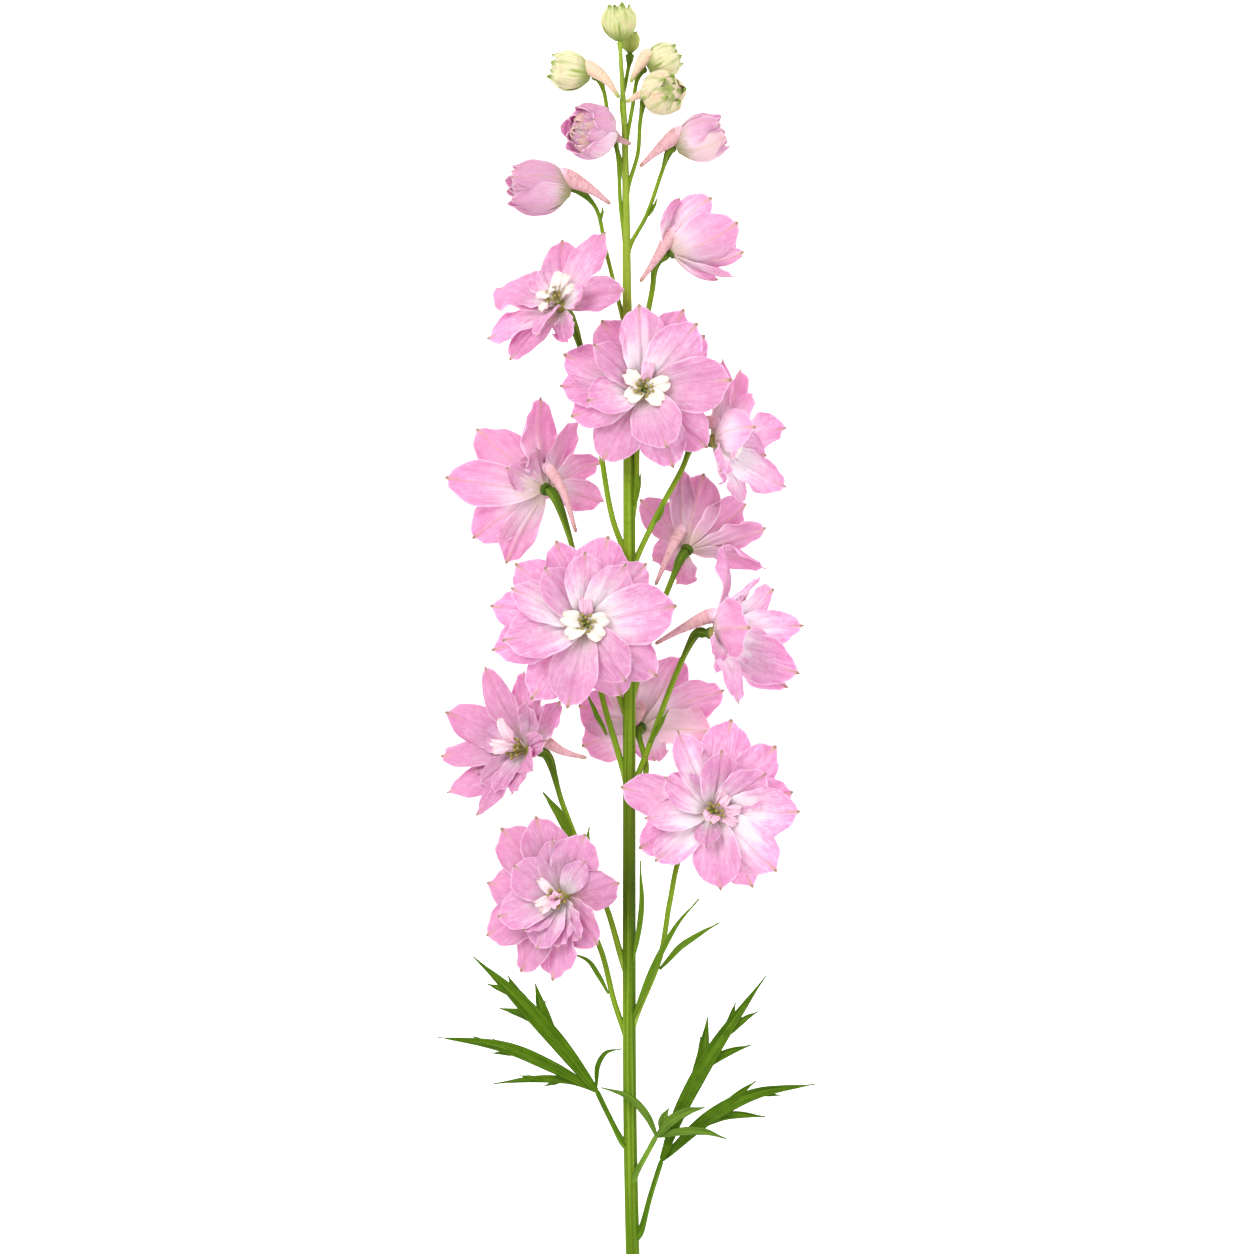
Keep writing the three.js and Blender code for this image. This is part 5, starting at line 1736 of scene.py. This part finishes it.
@dataclass
class Leaf:
    """A divided leaf: a stalk, flared at its foot, and narrow folded blades, each a layer lower."""

    plan: LeafPlan
    rows: int = 34
    half_columns: int = 7
    fold: float = 0.3
    thick: float = 0.34
    slim: float = 0.86
    layer: float = 0.07
    stalk_radius: float = 0.66
    flare: float = 0.5
    steps: int = 30
    sides: int = 16

    def build(self, finish: Material) -> None:
        """Makes the leaf."""
        parts = MeshParts()
        columns = columns_across(self.half_columns)
        thick = self.thick * (1 - 0.5 * np.abs(columns) ** 4)
        for place, row in enumerate(self.plan.blades):
            surface = blade_surface(row, self.rows, columns, self.fold, self.layer * place, self.slim)
            parts.add_sheet(surface, columns, thick, (self.plan.grey, Kind.BLADE))
        share = np.linspace(0, 1, self.steps + 1)
        radii = (self.stalk_radius + self.flare * (1 - share) ** 6) * nosed(share, 0.1)
        start = np.array(self.plan.stalk[0], float)
        knots = np.vstack(((start + stem_axis(start[1] - 2)) / 2, self.plan.stalk))
        parts.add_tube(smooth_path(knots, self.steps), radii, self.sides, (self.plan.grey, Kind.STALK))
        add_piece(parts, f"{self.plan.name}_green", finish, self.plan.name)


@dataclass(frozen=True)
class StalkSizes:
    """A stalk's radius, that of its swelling, and how straight it comes up to the flower."""

    radius: float
    swelling: float
    approach: float


@dataclass
class GreenStem:
    """The ribbed stem with its slanting cut, all flower stalks, bracts and bracteoles.

    lead is how far down the stem a stalk starts inside it, and collar how much wider it is there.
    """

    rows: int = 300
    sides: int = 48
    ribs: int = 5
    rib_depth: float = 0.045
    cut_rows: int = 6
    cut_rings: tuple = (0.03, 0.5, 0.94)
    bloom_stalk: StalkSizes = StalkSizes(0.68, 1.5, 3.2)
    bud_stalk: StalkSizes = StalkSizes(0.5, 1.3, 1.5)
    stalk_steps: int = 70
    stalk_sides: int = 20
    collar: float = 0.3
    swollen_share: float = 0.2
    knobs: float = 0.2
    lead: float = 5.0
    bract_rows: int = 24
    bract_half_columns: int = 5
    bract_fold: float = 0.4
    bract_thick: float = 0.36
    bracteoles: tuple = (
        ((-6.6, 247.4, 30), (-6, 249.4, 30.8), (-5.7, 251.4, 31.2), 0.7),
        ((5.2, 249, 30.4), (6.3, 251, 31), (7.4, 253.4, 31.4), 0.7),
        ((1.9, 179.6, 23.4), (2.8, 183.6, 24.8), (3.4, 187.6, 25.2), 0.8),
        ((7, 175.6, 21.2), (8.3, 177.8, 21.8), (9, 180, 22), 0.7),
        ((5.4, 122.6, 16.6), (7.6, 126.4, 17.6), (9.9, 130.4, 18), 1.1),
        ((-4.8, 124.6, 16.3), (-7.6, 130, 17), (-9.6, 134.8, 17.2), 1.1),
    )

    def add_main(self, parts: MeshParts) -> None:
        """Adds the main stem, whose first rows lie in the slanting cut and grow to its edge."""
        _, y, radius = np.array(STEM_STATIONS, float).T
        path = smooth_path([stem_axis(place) for place in y], self.rows - 1)
        share = np.linspace(0, 1, self.rows)
        base = np.interp(path[:, 1], y, radius) * nosed(share, 0.004, 0.2)
        _, side, up = path_frame(path)
        angle = np.linspace(0, 2 * np.pi, self.sides, endpoint=False)
        rib = 1 + self.rib_depth * np.sin(self.ribs * angle + 1.5 * share[:, None])
        out = side[:, None] * np.cos(angle)[:, None] + up[:, None] * np.sin(angle)[:, None]
        rings = path[:, None] + out * (base[:, None] * rib)[..., None]
        over = rings[..., 2] - path[0, 2]
        climb = unit(AHEAD + STEM_CLIMB * UP)
        fading = np.clip(1 - np.arange(self.rows) / self.cut_rows, 0, 1)[:, None]
        rings = rings + climb * (CUT_SLANT * over * fading)[..., None]
        grow = np.array(self.cut_rings)[:, None, None]
        centre = rings[0].mean(axis=0)
        face = centre + (rings[0] - centre) * grow
        notes = np.tile((0.0, 0.0, float(Kind.STEM)), (self.rows + len(grow), 1, 1))
        notes[: len(grow), :, 2] = float(Kind.CUT)
        skin = np.concatenate((face, rings))
        parts.add_skin(skin, np.linspace(0, 1, self.sides + 1), notes, sheet=False)

    def add_stalk(
        self, parts: MeshParts, stalk: tuple, seat: tuple, facing: tuple, sizes: StalkSizes
    ) -> None:
        """Adds a flower stalk with a swelling under the flower, knobbly by a product of sines.

        Args:
            parts: what to add it to.
            stalk: its bends, from inside the stem.
            seat: where the flower sits.
            facing: which way the flower looks.
            sizes: how thick it is.
        """
        axis = unit(np.array(facing, float))
        end = np.array(seat, float) - axis * SEAT_GAP
        start = stem_axis(stalk[0][1] - self.lead)
        knots = np.vstack((start, stalk, end - axis * sizes.approach, end))
        share = np.linspace(0, 1, self.stalk_steps + 1)
        angle = np.linspace(0, 2 * np.pi, self.stalk_sides, endpoint=False)
        swollen = np.clip(1 - (1 - share) / self.swollen_share, 0, 1)
        base = blend(sizes.radius, sizes.swelling, swollen**1.3) * nosed(share, 0.05, 0.5)
        base += self.collar * (1 - share) ** 8
        rows = np.sin(5 * angle + 4 * share[:, None])
        knobs = self.knobs * swollen[:, None] * rows * np.sin(40 * share)[:, None]
        radii = base[:, None] * (1 + 0.03 * np.sin(6 * angle) + knobs)
        path = smooth_path(knots, self.stalk_steps)
        parts.add_tube(path, radii, self.stalk_sides, (0.0, Kind.STALK))

    def build(self, finish: Material) -> None:
        """Makes the stem."""
        parts = MeshParts()
        self.add_main(parts)
        for bloom in (*BLOOMS, CUP_BUD):
            self.add_stalk(parts, bloom.stalk, bloom.seat, bloom.facing, self.bloom_stalk)
        for bud in BUDS:
            if bud.stalk:
                self.add_stalk(parts, bud.stalk, bud.base, bud.facing, self.bud_stalk)
        columns = columns_across(self.bract_half_columns)
        for row in (*BRACTS, *self.bracteoles):
            surface = blade_surface(row, self.bract_rows, columns, self.bract_fold, 0.0, 1.0)
            parts.add_sheet(surface, columns, np.array(self.bract_thick), (0.0, Kind.BLADE))
        add_piece(parts, "green_stem", finish, "stem")


@dataclass(frozen=True)
class Lamp:
    """A soft square light: its name, place in metres, side length, power in watts and colour."""

    name: str
    place: tuple
    size: float
    power: float
    colour: tuple


@dataclass
class Studio:
    """The pale floor, the soft lights and the camera that looks straight down.

    Lengths are in metres, lens and sensor in millimetres.
    """

    floor_size: float = 6.0
    floor_colour: tuple = srgb(250, 250, 250)
    floor_roughness: float = 0.9
    floor_shine: float = 0.1
    floor_glow: float = 0.75
    lamps: tuple = (
        Lamp("key_light", (-0.8, 0.9, 1.6), 0.8, 25.0, (1.0, 0.99, 0.97)),
        Lamp("fill_light", (1.2, -0.6, 1.3), 1.6, 10.0, (0.97, 0.98, 1.0)),
    )
    lens: float = 900.0
    sensor: float = 36.0
    view_width: float = 0.30096
    view_centre: tuple = (0.0002, 0.0109)
    focus_height: float = 0.022
    reach: float = 30.0
    world: float = 1.12

    def build_floor(self) -> None:
        """Lays the floor."""
        half = self.floor_size / 2
        corners = [(-half, -half, 0), (half, -half, 0), (half, half, 0), (-half, half, 0)]
        mesh = bpy.data.meshes.new("floor")
        mesh.from_pydata(corners, [], [(0, 1, 2, 3)])
        graph = Graph("floor")
        inputs = {
            "Base Color": self.floor_colour,
            "Roughness": self.floor_roughness,
            "Specular IOR Level": self.floor_shine,
            "Emission Color": srgb(255, 255, 255),
            "Emission Strength": self.floor_glow,
        }
        shader = graph.add("BsdfPrincipled", {}, inputs)
        graph.add("OutputMaterial", {}, {"Surface": shader.outputs[0]})
        mesh.materials.append(graph.material)
        floor = put("floor", mesh)

    def build_light(self, plan: Lamp) -> None:
        """Hangs a lamp that shines at the flower."""
        light = bpy.data.lights.new(plan.name, "AREA")
        light.size = plan.size
        light.energy = plan.power
        light.color = plan.colour
        lamp = put(plan.name, light)
        lamp.location = plan.place
        away = unit(np.array(plan.place))
        lamp.rotation_euler = (0, math.acos(away[2]), math.atan2(away[1], away[0]))

    def build_camera(self) -> None:
        """Sets the camera above the flower, its upper edge towards the tip."""
        camera = bpy.data.cameras.new("camera")
        camera.lens = self.lens
        camera.sensor_width = self.sensor
        camera.clip_end = self.reach
        eye = put("camera", camera)
        rise = self.focus_height + self.view_width * self.lens / self.sensor
        eye.location = (*self.view_centre, rise)
        bpy.context.scene.camera = eye
        bpy.context.scene.view_settings.view_transform = "Standard"

    def build_world(self) -> None:
        """Surrounds the scene with an even pale light."""
        world = bpy.data.worlds.new("studio")
        world.use_nodes = True
        background = world.node_tree.nodes["Background"]
        background.inputs["Color"].default_value = (1.0, 1.0, 1.0, 1.0)
        background.inputs["Strength"].default_value = self.world
        bpy.context.scene.world = world

    def build(self) -> None:
        """Builds the whole studio."""
        self.build_floor()
        self.build_world()
        for lamp in self.lamps:
            self.build_light(lamp)
        self.build_camera()


def main() -> None:
    """Builds every piece in turn, then the studio."""
    logging.basicConfig(level=logging.INFO, format="%(name)s: %(message)s")
    petal = PetalFinish().material()
    heart = HeartFinish().material()
    bud = BudFinish().material()
    GreenStem().build(StemFinish().material())
    leaf = LeafFinish().material()
    for plan in LEAVES:
        Leaf(plan).build(leaf)
    for number, plan in enumerate(BLOOMS):
        Bloom(plan, number).build(petal, heart)
    for number, plan in enumerate(BUDS):
        Bud(plan, number).build(bud, petal)
    CupBud(CUP_BUD, len(BLOOMS)).build_cup(petal, f"bud_{len(BUDS) + 1}")
    Studio().build()


if __name__ == "__main__":
    main()
